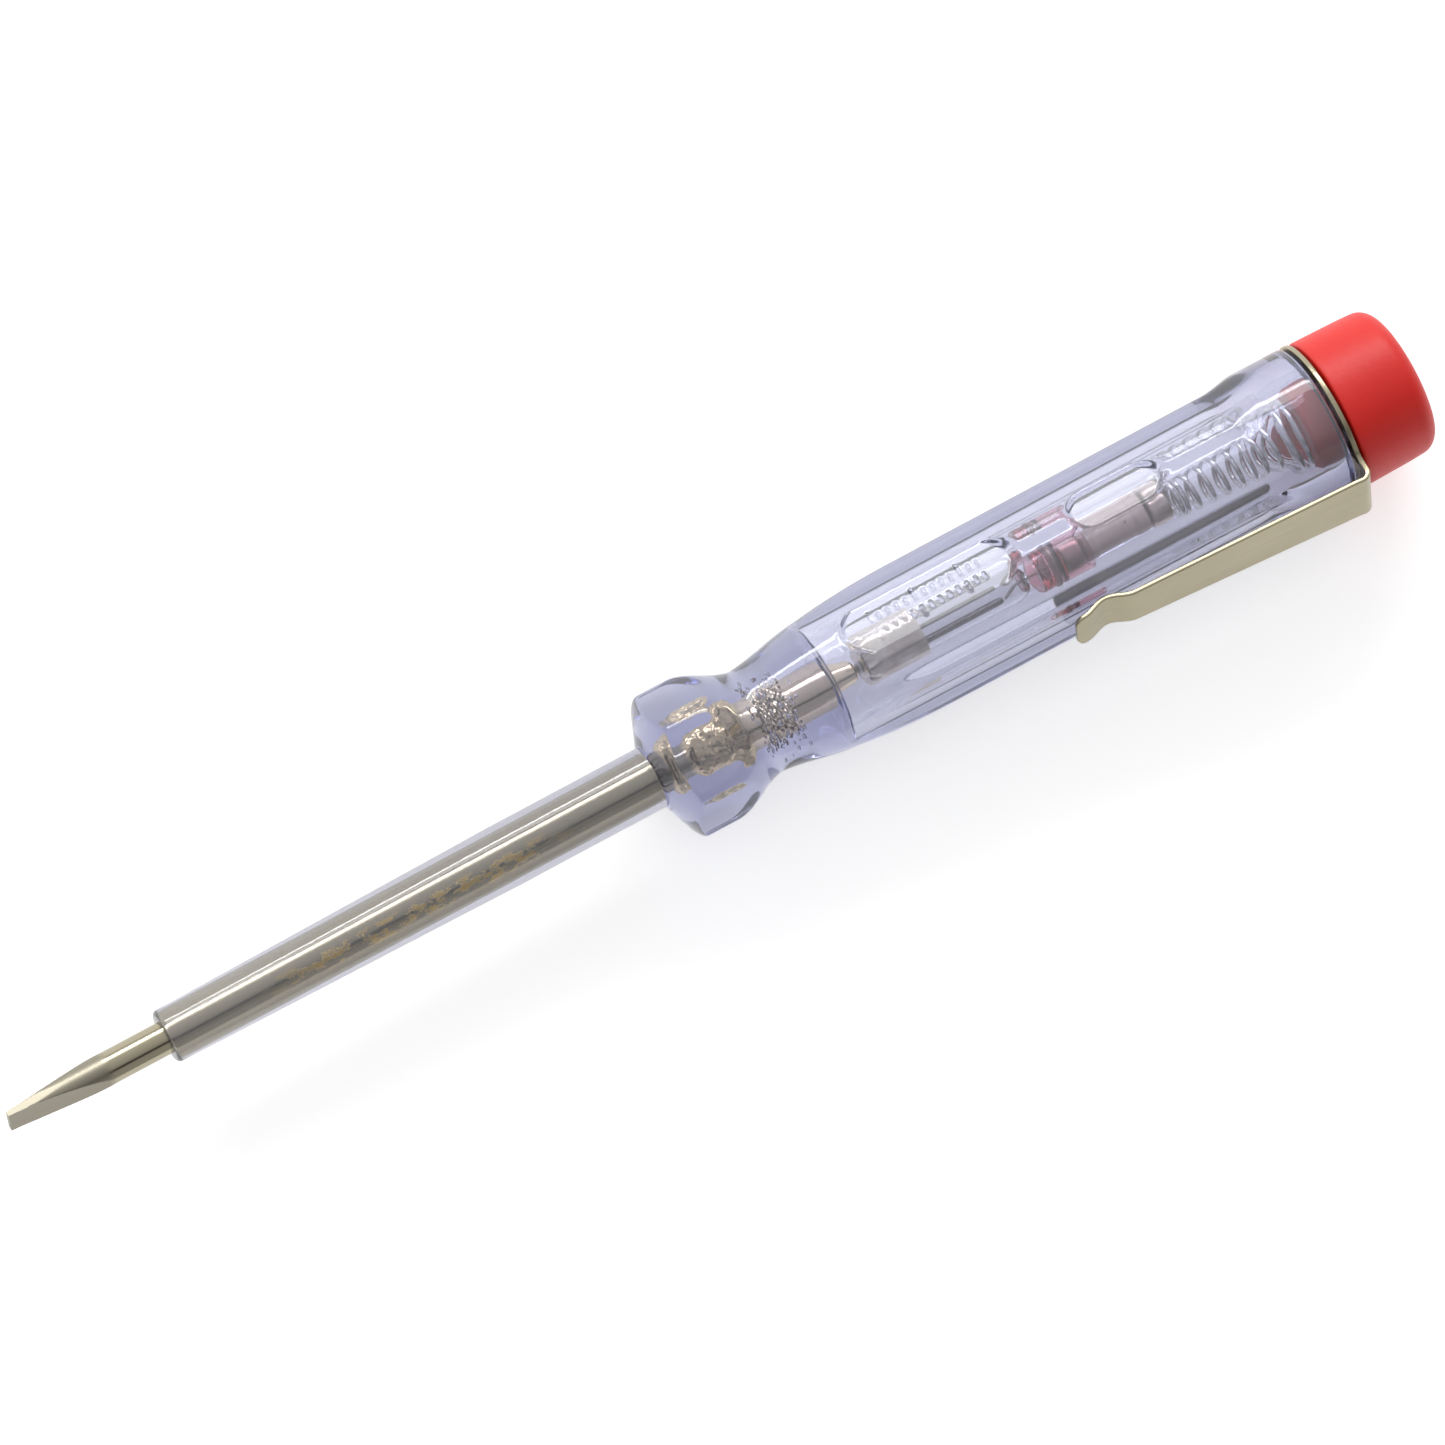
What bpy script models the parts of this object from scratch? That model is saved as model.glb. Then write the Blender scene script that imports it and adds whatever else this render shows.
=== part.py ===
"""A neon mains tester screwdriver, in metres.

It is modelled upright, with its tip at the origin and its axis along +Z, under an empty that
lays it down along world +X. A station is a distance from the tip along the axis. An angle is
measured round the axis, and 180 degrees faces world +Z once the tool lies down.
"""

import math

import bmesh
import bpy
from mathutils import Vector

# ---- Driving dimensions -------------------------------------------------------------------
FIT_GAP = 0.0003  # between pieces that touch or hold each other
NESTING_GAP = 0.0002  # between thin shells that sit one inside the other
RUNNING_GAP = 0.0003  # round what slides or turns

BLADE_REACH = 0.0638  # from the tip to the guard
ROD_RADIUS = 0.0015
ROD_REACH = 0.0033  # from the chamber's wall to the lamp's cap
ROD_END_CHAMFER = 0.00025
TIP_WIDTH = 0.0028
TIP_THICKNESS = 0.0005
TIP_FLAT_LENGTH = 0.0098
TIP_SIDE_LENGTH = 0.0060
WING_INSET = 0.0027  # from the guard's front
WING_LENGTH = 0.0050
WING_HALF_SPAN = 0.0020
WING_THICKNESS = 0.0018
WING_ROUND = 0.0006
KNURL_INSET = 0.0100  # from the guard's front
KNURL_RIDGES = 4
KNURL_PITCH = 0.0009
KNURL_HEIGHT = 0.00012

SLEEVE_START = 0.0154
SLEEVE_FRONT_WALL = 0.00068
SLEEVE_REAR_WALL = 0.00109
SLEEVE_STRAIGHT_LENGTH = 0.0145
SLEEVE_EDGE_ROUND = 0.0004

HANDLE_SIDES = 6
HANDLE_WALL = 0.0018  # at the middle of a flat, at the chamber's wide end
CORNER_HEIGHT = 0.0007  # from a flat up to the rounded corner
COLLAR_STEP = 0.00046
GUARD_STEP = 0.00015
GUARD_FLAT_DEPTH = 0.00075
GUARD_CONE_LENGTH = 0.0017
GUARD_RIM_LENGTH = 0.0036
GUARD_SLOPE_LENGTH = 0.0051
NECK_RADIUS = 0.00493
NECK_FLARE_LENGTH = 0.0070
SHOULDER_LENGTH = 0.0103
SHOULDER_DROP = 0.00063
FLATS_LENGTH = 0.0416  # from the crease at the shoulder to the collar's ramp
COLLAR_RAMP_LENGTH = 0.0034
ARCH_LENGTH = 0.0040  # from a flat's end to the top of its arch on the collar
COLLAR_LENGTH = 0.00475
COLLAR_EDGE_ROUND = 0.0003

PAD_ANGLE = 150.0
LABEL_PAD_INSET = 0.0026  # from the crease
LABEL_PAD_LENGTH = 0.0162
LABEL_PAD_WIDTH = 0.0053
LABEL_PAD_DEPTH = 0.00122
WINDOW_PAD_INSET = 0.0251  # from the crease
WINDOW_PAD_LENGTH = 0.0090
WINDOW_PAD_WIDTH = 0.0043
WINDOW_PAD_DEPTH = 0.00104

CHAMBER_CLEARANCE = 0.00075  # round the contact disc
CHAMBER_DRAFT = 0.00035  # how much wider the chamber is at its mouth

FERRULE_LENGTH = 0.0058
FERRULE_RADIUS = 0.00285
FERRULE_WALL = 0.0002
FERRULE_CRIMP = 0.0003  # how far its front rim is pressed in
SOLDER_HEIGHT = 0.0004
SOLDER_RADIUS = 0.0009
GLASS_LENGTH = 0.0166
GLASS_WALL = 0.00045
GLASS_TIP_ROUND = 0.0014
GLASS_TIP_ANGLE = 60.0  # how far round the tip goes before the flat at the lead
GLASS_PIP = 0.0003
LEAD_RADIUS = 0.00022
LEAD_HOLE_RADIUS = 0.0006
STEM_INSET = 0.0015
STEM_LENGTH = 0.0020
STEM_CHAMFER = 0.0004
ELECTRODE_LENGTH = 0.0097
ELECTRODE_RADIUS = 0.00055
ELECTRODE_OFFSET = 0.00105
LEAD_SWING = 0.0016  # the length over which the rear lead comes in to the axis

DISC_RADIUS = 0.0031
DISC_THICKNESS = 0.0003
DISC_CHAMFER = 0.0001
SEAT_RING_LENGTH = 0.0011
SEAT_RING_RADIUS = 0.0029
SEAT_RING_BORE = 0.0017
HOLDER_LENGTH = 0.0031
HOLDER_RADIUS = 0.0030
HOLDER_WALL = 0.0004
RESISTOR_CAP_GAP = 0.00035  # round the front cap, inside its holder
RESISTOR_CAP_LENGTH = 0.0019
RESISTOR_CAP_CHAMFER = 0.0002
RESISTOR_LENGTH = 0.0066
RESISTOR_STEP = 0.00013  # from an end cap down to the body
RESISTOR_ROUND = 0.0004
RESISTOR_SHOULDER = 0.0012  # the length of each thicker end of the body
RESISTOR_WAIST = 0.0001  # how much thinner it is between them

SPRING_WIRE_RADIUS = 0.00024
SPRING_REAR_INSET = 0.00055  # from the plug's edge to the wire's centre line
SPRING_CLOSE_COILS = 2.0
SPRING_OPEN_COILS = 8.0
SPRING_SEAT_COILS = 1.0
SPRING_CLOSE_PITCH = 1.12  # in wire thicknesses
SPRING_POINTS_PER_COIL = 14

CAP_LENGTH = 0.0080  # the part of the red cap that shows
CAP_STEP = 0.00009  # how much narrower it is than the collar
CAP_TAPER = 0.00017
CAP_EDGE_ROUND = 0.0016
CAP_DOME = 0.00035
CAP_FRONT_CHAMFER = 0.0002
PLUG_LENGTH = 0.0022
PLUG_CHAMFER = 0.0003
PLUG_HOLLOW_RADIUS = 0.0022
PLUG_HOLLOW_DEPTH = 0.0012

CLIP_ANGLE = 240.0
CLIP_THICKNESS = 0.00045
CLIP_LENGTH = 0.0293
CLIP_STANDOFF = 0.00164  # from the collar to the outer face of the bend
CLIP_BEND_WIDTH = 0.0060
CLIP_TIP_WIDTH = 0.0044
CLIP_TAB_MARGIN = 0.0001
CLIP_BEND_ROUND = 0.0007
CLIP_TIP_ROUND = 0.0004
CLIP_DENT_CENTRE = 0.0033  # from the arm's tip
CLIP_DENT_HALF_LENGTH = 0.0026
CLIP_DENT_DEPTH = 0.00075

ROUND_STEPS = 48
SMALL_STEPS = 32
WIRE_STEPS = 12
CUT_MARGIN = 0.001  # how far a cutter reaches past what it cuts

# ---- Values that follow from them -----------------------------------------------------------
CHAMBER_FRONT_RADIUS = DISC_RADIUS + CHAMBER_CLEARANCE
CHAMBER_REAR_RADIUS = CHAMBER_FRONT_RADIUS + CHAMBER_DRAFT
BODY_FLAT = CHAMBER_REAR_RADIUS + HANDLE_WALL  # from the axis, as every height here is
BODY_RADIUS = BODY_FLAT + CORNER_HEIGHT
COLLAR_RADIUS = BODY_RADIUS + COLLAR_STEP
GUARD_RADIUS = BODY_RADIUS + GUARD_STEP
GUARD_FLAT = GUARD_RADIUS - GUARD_FLAT_DEPTH
CREASE_RADIUS = BODY_RADIUS - SHOULDER_DROP
SLEEVE_BORE = ROD_RADIUS + FIT_GAP
SLEEVE_FRONT_RADIUS = SLEEVE_BORE + SLEEVE_FRONT_WALL
SLEEVE_REAR_RADIUS = SLEEVE_BORE + SLEEVE_REAR_WALL
PLUG_RADIUS = CHAMBER_REAR_RADIUS - RUNNING_GAP
RING_BORE_RADIUS = PLUG_RADIUS + RUNNING_GAP
CAP_FRONT_RADIUS = COLLAR_RADIUS - CAP_STEP
CAP_REAR_RADIUS = CAP_FRONT_RADIUS - CAP_TAPER

GUARD_START = BLADE_REACH
GUARD_RIM_START = GUARD_START + GUARD_CONE_LENGTH
GUARD_RIM_END = GUARD_RIM_START + GUARD_RIM_LENGTH
NECK_STATION = GUARD_RIM_END + GUARD_SLOPE_LENGTH
CREASE_STATION = NECK_STATION + NECK_FLARE_LENGTH
BODY_FULL_STATION = CREASE_STATION + SHOULDER_LENGTH
FLATS_END = CREASE_STATION + FLATS_LENGTH
COLLAR_START = FLATS_END + COLLAR_RAMP_LENGTH
HANDLE_END = COLLAR_START + COLLAR_LENGTH
RING_START = HANDLE_END + FIT_GAP
RING_END = RING_START + CLIP_THICKNESS
CAP_START = RING_END + FIT_GAP
WING_START = GUARD_START + WING_INSET
KNURL_START = GUARD_START + KNURL_INSET
KNURL_END = KNURL_START + KNURL_RIDGES * KNURL_PITCH
SLEEVE_END = GUARD_START - FIT_GAP
SLEEVE_TAPER_END = SLEEVE_END - SLEEVE_STRAIGHT_LENGTH

CHAMBER_START = CREASE_STATION
FERRULE_START = CHAMBER_START + ROD_REACH
ROD_END = FERRULE_START - SOLDER_HEIGHT - FIT_GAP
GLASS_RADIUS = FERRULE_RADIUS - FERRULE_WALL - NESTING_GAP
GLASS_START = FERRULE_START + FERRULE_WALL + FIT_GAP
GLASS_END = GLASS_START + GLASS_LENGTH
STEM_START = GLASS_START + STEM_INSET
STEM_END = STEM_START + STEM_LENGTH
STEM_RADIUS = GLASS_RADIUS - GLASS_WALL - NESTING_GAP
ELECTRODE_START = STEM_END + FIT_GAP
ELECTRODE_END = ELECTRODE_START + ELECTRODE_LENGTH
SEAT_RING_START = GLASS_END + FIT_GAP
SEAT_RING_END = SEAT_RING_START + SEAT_RING_LENGTH
DISC_START = SEAT_RING_END + FIT_GAP
DISC_END = DISC_START + DISC_THICKNESS
HOLDER_START = DISC_END + FIT_GAP
HOLDER_END = HOLDER_START + HOLDER_LENGTH
RESISTOR_CAP_RADIUS = HOLDER_RADIUS - HOLDER_WALL - RESISTOR_CAP_GAP
RESISTOR_RADIUS = RESISTOR_CAP_RADIUS - RESISTOR_STEP
RESISTOR_CAP_FRONT_START = HOLDER_START + HOLDER_WALL + NESTING_GAP
RESISTOR_START = RESISTOR_CAP_FRONT_START + RESISTOR_CAP_LENGTH + NESTING_GAP
RESISTOR_END = RESISTOR_START + RESISTOR_LENGTH
RESISTOR_CAP_REAR_START = RESISTOR_END + NESTING_GAP
RESISTOR_CAP_REAR_END = RESISTOR_CAP_REAR_START + RESISTOR_CAP_LENGTH
PLUG_START = HANDLE_END - PLUG_LENGTH
SPRING_START = RESISTOR_CAP_REAR_END + NESTING_GAP + SPRING_WIRE_RADIUS
SPRING_END = PLUG_START - NESTING_GAP - SPRING_WIRE_RADIUS
SPRING_FRONT_RADIUS = RESISTOR_CAP_RADIUS + FIT_GAP
SPRING_REAR_RADIUS = PLUG_RADIUS - SPRING_REAR_INSET

CLIP_TIP = RING_END - CLIP_LENGTH
CLIP_BEND_OUTER = COLLAR_RADIUS + CLIP_STANDOFF
TAB_END = CLIP_BEND_OUTER - CLIP_THICKNESS - FIT_GAP
CLIP_DENT_MIDDLE = BODY_FLAT + FIT_GAP + CLIP_THICKNESS / 2  # the sheet's middle at the dent


# ---- Helpers ----------------------------------------------------------------------------------
def clear_scene():
    for obj in list(bpy.data.objects):
        bpy.data.objects.remove(obj, do_unlink=True)


def new_collection(name):
    collection = bpy.data.collections.new(name)
    bpy.context.scene.collection.children.link(collection)
    return collection


def new_material(name, colour, roughness, metallic=0.0, transmission=0.0):
    material = bpy.data.materials.new(name)
    material.use_nodes = True
    shader = material.node_tree.nodes["Principled BSDF"]
    shader.inputs["Base Color"].default_value = (*colour, 1.0)
    shader.inputs["Roughness"].default_value = roughness
    shader.inputs["Metallic"].default_value = metallic
    shader.inputs["Transmission Weight"].default_value = transmission
    return material


def add_object(name, data, material=None, station=0.0, parent=None):
    """An object on the tool's axis, at a station."""
    obj = bpy.data.objects.new(name, data)
    obj.parent = parent or TOOL
    obj.location = (0.0, 0.0, station)
    PARTS.objects.link(obj)
    if material:
        data.materials.append(material)
    return obj


def turned(name, profile, material, ring=False, steps=SMALL_STEPS, parent=None, station=0.0):
    """A turned piece. The profile is (radius, station) points, down the outer side."""
    mesh = bpy.data.meshes.new(name)
    edges = [(i, i + 1) for i in range(len(profile) - 1)]
    if ring:
        edges.append((len(profile) - 1, 0))
    mesh.from_pydata([(r, 0.0, z) for r, z in profile], edges, [])
    obj = add_object(name, mesh, material, station, parent)
    screw = obj.modifiers.new("Turn", "SCREW")
    screw.steps = steps
    screw.render_steps = steps
    screw.use_merge_vertices = True
    screw.merge_threshold = 0.00001
    screw.use_smooth_shade = True
    return obj


def as_cutter(obj):
    """Moves an object to the cutters and hides it."""
    for collection in list(obj.users_collection):
        collection.objects.unlink(obj)
    CUTTERS.objects.link(obj)
    obj.hide_render = True
    obj.display_type = "WIRE"
    return obj


def boolean(obj, other, operation):
    modifier = obj.modifiers.new(other.name, "BOOLEAN")
    modifier.operation = operation
    modifier.solver = "EXACT"
    modifier.object = as_cutter(other)


def prism(name, outline, width):
    """A closed solid: an outline in the XZ plane, with its width along Y."""
    shape = bmesh.new()
    corners = [shape.verts.new((x, -width / 2, z)) for x, z in outline]
    front = shape.faces.new(corners)
    grown = bmesh.ops.extrude_face_region(shape, geom=[front])
    moved = [v for v in grown["geom"] if isinstance(v, bmesh.types.BMVert)]
    bmesh.ops.translate(shape, verts=moved, vec=(0.0, width, 0.0))
    bmesh.ops.recalc_face_normals(shape, faces=shape.faces)
    mesh = bpy.data.meshes.new(name)
    shape.to_mesh(mesh)
    shape.free()
    return add_object(name, mesh)


def round_over(obj, width, segments):
    bevel = obj.modifiers.new("Round", "BEVEL")
    bevel.width = width
    bevel.segments = segments
    bevel.limit_method = "ANGLE"


def turn_to(obj, angle):
    """Turns a piece made towards local +X round the axis."""
    obj.rotation_euler = (0.0, 0.0, math.radians(angle))
    return obj


def arc(centre, radius, start, end, steps):
    """Points on an arc of the profile plane, angles from the outward direction."""
    turns = [math.radians(start + (end - start) * i / steps) for i in range(steps + 1)]
    return [(centre[0] + radius * math.cos(a), centre[1] + radius * math.sin(a)) for a in turns]


def eased(start, end, steps, curve=0.0):
    """Points from start to end on a soft S in the profile plane, leaving out the start."""
    points = []
    for i in range(1, steps + 1):
        t = i / steps
        blend = (1 - curve) * t * t * (3 - 2 * t) + curve * t
        points.append((start[0] + (end[0] - start[0]) * blend, start[1] + (end[1] - start[1]) * t))
    return points


# ---- Blade and its sleeve -----------------------------------------------------------------------
def make_blade():
    profile = [(0.0, ROD_END), (ROD_RADIUS - ROD_END_CHAMFER, ROD_END)]
    profile.append((ROD_RADIUS, ROD_END - ROD_END_CHAMFER))
    for i in range(KNURL_RIDGES):
        top = KNURL_END - i * KNURL_PITCH
        profile.append((ROD_RADIUS, top))
        profile.append((ROD_RADIUS + KNURL_HEIGHT, top - KNURL_PITCH / 3))
        profile.append((ROD_RADIUS + KNURL_HEIGHT, top - KNURL_PITCH * 2 / 3))
    profile += [(ROD_RADIUS, KNURL_START), (ROD_RADIUS, 0.0), (0.0, 0.0)]
    blade = turned("blade_rod", profile, STEEL)

    wing = bmesh.new()
    bmesh.ops.create_cube(wing, size=1.0)
    wing_mesh = bpy.data.meshes.new("blade_wings")
    size = (WING_THICKNESS, 2 * WING_HALF_SPAN, WING_LENGTH)
    bmesh.ops.scale(wing, vec=size, verts=wing.verts)
    wing.to_mesh(wing_mesh)
    wing.free()
    wings = add_object("blade_wings", wing_mesh, station=WING_START + WING_LENGTH / 2)
    round_over(wings, WING_ROUND, 3)
    boolean(blade, wings, "UNION")

    # Each flat is slightly hollow-ground: a cutter whose face is an arc, deepest at the tip.
    depth = ROD_RADIUS - TIP_THICKNESS / 2
    outside = ROD_RADIUS + CUT_MARGIN
    outline = [(outside, -CUT_MARGIN), (TIP_THICKNESS / 2, -CUT_MARGIN)]
    for i in range(9):
        t = i / 8
        outline.append((TIP_THICKNESS / 2 + depth * t**1.35, TIP_FLAT_LENGTH * t))
    outline.append((outside, TIP_FLAT_LENGTH))
    for side in (0.0, 180.0):
        cutter = prism("tip_flat_cutter", outline, 2 * outside)
        boolean(blade, turn_to(cutter, CLIP_ANGLE + side), "DIFFERENCE")
    narrowing = [(TIP_WIDTH / 2, -CUT_MARGIN), (TIP_WIDTH / 2, TIP_SIDE_LENGTH / 4)]
    narrowing += [(outside, TIP_SIDE_LENGTH), (outside, -CUT_MARGIN)]
    for side in (90.0, 270.0):
        cutter = prism("tip_side_cutter", narrowing, 2 * outside)
        boolean(blade, turn_to(cutter, CLIP_ANGLE + side), "DIFFERENCE")
    return blade


def make_sleeve():
    edge = SLEEVE_EDGE_ROUND
    profile = [(SLEEVE_BORE, SLEEVE_END), (SLEEVE_REAR_RADIUS, SLEEVE_END)]
    profile.append((SLEEVE_REAR_RADIUS, SLEEVE_TAPER_END))
    profile += arc((SLEEVE_FRONT_RADIUS - edge, SLEEVE_START + edge), edge, 0, -90, 4)
    profile.append((SLEEVE_BORE, SLEEVE_START))
    return turned("blade_sleeve", profile, CLEAR, ring=True)


# ---- Handle ---------------------------------------------------------------------------------------
def handle_outline():
    """The handle's outer side, from the collar's rear edge down to the guard's front."""
    edge = COLLAR_EDGE_ROUND
    points = [(COLLAR_RADIUS - edge, HANDLE_END), (COLLAR_RADIUS, HANDLE_END - edge)]
    points.append((COLLAR_RADIUS, COLLAR_START))
    points += eased(points[-1], (BODY_RADIUS, FLATS_END), 4)
    for i in range(6):
        t = i / 5
        points.append((BODY_RADIUS - SHOULDER_DROP * t**2.2, BODY_FULL_STATION - SHOULDER_LENGTH * t))
    points += eased(points[-1], (NECK_RADIUS, NECK_STATION), 6, 0.45)
    points += eased(points[-1], (GUARD_RADIUS, GUARD_RIM_END), 6, 0.3)
    points.append((GUARD_RADIUS, GUARD_RIM_START))
    return points + [(SLEEVE_REAR_RADIUS, GUARD_START)]


def handle_bore():
    """The handle's inside, from the guard's front back to the open rear end."""
    rod = SLEEVE_BORE
    pocket = math.hypot(WING_HALF_SPAN, WING_THICKNESS / 2) + FIT_GAP
    knurl = ROD_RADIUS + KNURL_HEIGHT + FIT_GAP
    wing_end = WING_START + WING_LENGTH
    return [
        (rod, GUARD_START),
        (rod, WING_START - FIT_GAP),
        (pocket, WING_START - FIT_GAP),
        (pocket, wing_end + FIT_GAP),
        (rod, wing_end + FIT_GAP),
        (rod, KNURL_START - FIT_GAP),
        (knurl, KNURL_START - FIT_GAP),
        (knurl, KNURL_END + FIT_GAP),
        (rod, KNURL_END + FIT_GAP),
        (rod, CHAMBER_START),
        (CHAMBER_FRONT_RADIUS, CHAMBER_START),
        (CHAMBER_REAR_RADIUS, PLUG_START - FIT_GAP),
        (CHAMBER_REAR_RADIUS, HANDLE_END),
    ]


def half_turn(start):
    """Angles of a half circle, in degrees."""
    return [math.radians(start - 180.0 * i / 10) for i in range(11)]


def pad_cutter(name, inset, length, width, depth):
    """A cutter for a flat pad with half-round ends, milled into a corner along local +X."""
    shape = bmesh.new()
    radius = width / 2
    low = CREASE_STATION + inset + radius
    high = CREASE_STATION + inset + length - radius
    ends = [(high, a) for a in half_turn(90.0)] + [(low, a) for a in half_turn(-90.0)]
    height = BODY_RADIUS - depth
    corners = []
    for middle, a in ends:
        corners.append(shape.verts.new((height, radius * math.sin(a), middle + radius * math.cos(a))))
    face = shape.faces.new(corners)
    grown = bmesh.ops.extrude_face_region(shape, geom=[face])
    moved = [v for v in grown["geom"] if isinstance(v, bmesh.types.BMVert)]
    bmesh.ops.translate(shape, verts=moved, vec=(depth + CUT_MARGIN, 0.0, 0.0))
    bmesh.ops.recalc_face_normals(shape, faces=shape.faces)
    mesh = bpy.data.meshes.new(name)
    shape.to_mesh(mesh)
    shape.free()
    return turn_to(add_object(name, mesh), PAD_ANGLE)


def make_handle():
    handle = turned("handle_body", handle_outline() + handle_bore(), CLEAR, True, ROUND_STEPS)
    reach = COLLAR_RADIUS + CUT_MARGIN
    runout = FLATS_END + ARCH_LENGTH * (reach - BODY_FLAT) / (COLLAR_RADIUS - BODY_FLAT)
    body_outline = [(BODY_FLAT, NECK_STATION), (BODY_FLAT, FLATS_END), (reach, runout)]
    body_outline.append((reach, NECK_STATION))
    front = GUARD_START - CUT_MARGIN
    guard_outline = [(GUARD_FLAT, front), (GUARD_FLAT, NECK_STATION)]
    guard_outline += [(reach, NECK_STATION), (reach, front)]
    for i in range(HANDLE_SIDES):
        angle = 180.0 + i * 360.0 / HANDLE_SIDES
        for outline in (body_outline, guard_outline):
            cutter = prism("flat_cutter", outline, 2 * reach)
            boolean(handle, turn_to(cutter, angle), "DIFFERENCE")
    pads = (
        ("label_pad", LABEL_PAD_INSET, LABEL_PAD_LENGTH, LABEL_PAD_WIDTH, LABEL_PAD_DEPTH),
        ("window_pad", WINDOW_PAD_INSET, WINDOW_PAD_LENGTH, WINDOW_PAD_WIDTH, WINDOW_PAD_DEPTH),
    )
    for pad in pads:
        boolean(handle, pad_cutter(*pad), "DIFFERENCE")
    return handle


# ---- Neon lamp ------------------------------------------------------------------------------------
def make_lamp():
    start, end = FERRULE_START, FERRULE_START + FERRULE_LENGTH
    inner = FERRULE_RADIUS - FERRULE_WALL
    shell = [
        (0.0, start + FERRULE_WALL),
        (inner, start + FERRULE_WALL),
        (inner, end),
        (FERRULE_RADIUS, end),
        (FERRULE_RADIUS, start + FERRULE_CRIMP),
        (FERRULE_RADIUS - FERRULE_CRIMP, start),
        (0.0, start),
    ]
    turned("lamp_ferrule", shell, BRASS)
    seat = start - NESTING_GAP / 2
    dome = [(0.0, seat)]
    for i in range(7):
        a = math.radians(15 * i)
        dome.append((SOLDER_RADIUS * math.cos(a), seat - SOLDER_HEIGHT * math.sin(a)))
    turned("lamp_solder_dot", dome, SOLDER)

    bore = GLASS_RADIUS - GLASS_WALL
    tip = GLASS_TIP_ROUND
    centre = GLASS_END - GLASS_PIP - tip
    outer = arc((GLASS_RADIUS - tip, centre), tip, GLASS_TIP_ANGLE, 0, 4)
    hole_top = centre + tip * math.sin(math.radians(GLASS_TIP_ANGLE))
    outside = [(LEAD_HOLE_RADIUS, hole_top + GLASS_PIP)] + outer + [(GLASS_RADIUS, GLASS_START)]
    inside = [(bore, GLASS_START), (bore, centre - GLASS_WALL / 2)]
    inside.append((LEAD_HOLE_RADIUS, hole_top - GLASS_WALL))
    turned("lamp_glass", outside + inside, GLASS, ring=True)

    bead = STEM_CHAMFER
    stem = [(0.0, STEM_END), (STEM_RADIUS - bead, STEM_END), (STEM_RADIUS, STEM_END - bead)]
    stem += [(STEM_RADIUS, STEM_START + bead), (STEM_RADIUS - bead, STEM_START), (0.0, STEM_START)]
    turned("lamp_stem", stem, GLASS)

    low, high = FERRULE_START + FERRULE_WALL + NESTING_GAP, STEM_START - NESTING_GAP
    lead = [(0.0, high), (LEAD_RADIUS, high), (LEAD_RADIUS, low), (0.0, low)]
    turned("lamp_lead_front", lead, STEEL, steps=WIRE_STEPS)

    radius = ELECTRODE_RADIUS
    rod = arc((0.0, ELECTRODE_LENGTH - radius), radius, 90, 0, 4)
    rod += [(radius, LEAD_RADIUS), (radius - LEAD_RADIUS, 0.0), (0.0, 0.0)]
    for name, side in (("lamp_electrode_left", 1), ("lamp_electrode_right", -1)):
        electrode = turned(name, rod, ELECTRODE, steps=16, station=ELECTRODE_START)
        electrode.location.y = side * ELECTRODE_OFFSET

    # From the right electrode's end, in to the axis, out of the glass and on to the disc.
    lead = []
    for i in range(9):
        t = i / 8
        blend = t * t * (3 - 2 * t)
        station = ELECTRODE_END + NESTING_GAP + LEAD_SWING * t
        lead.append((0.0, -ELECTRODE_OFFSET * (1 - blend), station))
    lead.append((0.0, 0.0, DISC_START - NESTING_GAP))
    make_wire("lamp_lead_rear", lead, LEAD_RADIUS, STEEL)


# ---- Contact disc, resistor and spring --------------------------------------------------------------
def make_resistor_stack():
    edge = DISC_CHAMFER
    disc = [(0.0, DISC_END), (DISC_RADIUS - edge, DISC_END), (DISC_RADIUS, DISC_END - edge)]
    disc += [(DISC_RADIUS, DISC_START), (0.0, DISC_START)]
    turned("contact_disc", disc, BRASS)

    ring = [
        (SEAT_RING_BORE, SEAT_RING_END),
        (SEAT_RING_RADIUS, SEAT_RING_END),
        (SEAT_RING_RADIUS, SEAT_RING_START),
        (SEAT_RING_BORE, SEAT_RING_START),
    ]
    turned("lamp_seat_ring", ring, RED_CLEAR, ring=True)

    inner = HOLDER_RADIUS - HOLDER_WALL
    holder = [
        (0.0, HOLDER_START + HOLDER_WALL),
        (inner, HOLDER_START + HOLDER_WALL),
        (inner, HOLDER_END),
        (HOLDER_RADIUS, HOLDER_END),
        (HOLDER_RADIUS, HOLDER_START),
        (0.0, HOLDER_START),
    ]
    turned("resistor_holder", holder, RED_CLEAR)

    caps = (
        ("resistor_cap_front", RESISTOR_CAP_FRONT_START),
        ("resistor_cap_rear", RESISTOR_CAP_REAR_START),
    )
    radius, edge = RESISTOR_CAP_RADIUS, RESISTOR_CAP_CHAMFER
    for name, start in caps:
        top = start + RESISTOR_CAP_LENGTH
        profile = [(0.0, top), (radius - edge, top), (radius, top - edge)]
        profile += [(radius, start + edge), (radius - edge, start), (0.0, start)]
        turned(name, profile, TINNED)

    radius, edge = RESISTOR_RADIUS, RESISTOR_ROUND
    step = RESISTOR_SHOULDER + RESISTOR_ROUND
    body = [(0.0, RESISTOR_END), (radius - edge, RESISTOR_END), (radius, RESISTOR_END - edge)]
    body.append((radius, RESISTOR_END - RESISTOR_SHOULDER))
    body.append((radius - RESISTOR_WAIST, RESISTOR_END - step))
    body.append((radius - RESISTOR_WAIST, RESISTOR_START + step))
    body.append((radius, RESISTOR_START + RESISTOR_SHOULDER))
    body += [(radius, RESISTOR_START + edge), (radius - edge, RESISTOR_START)]
    turned("resistor_body", body + [(0.0, RESISTOR_START)], CERAMIC)


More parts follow.
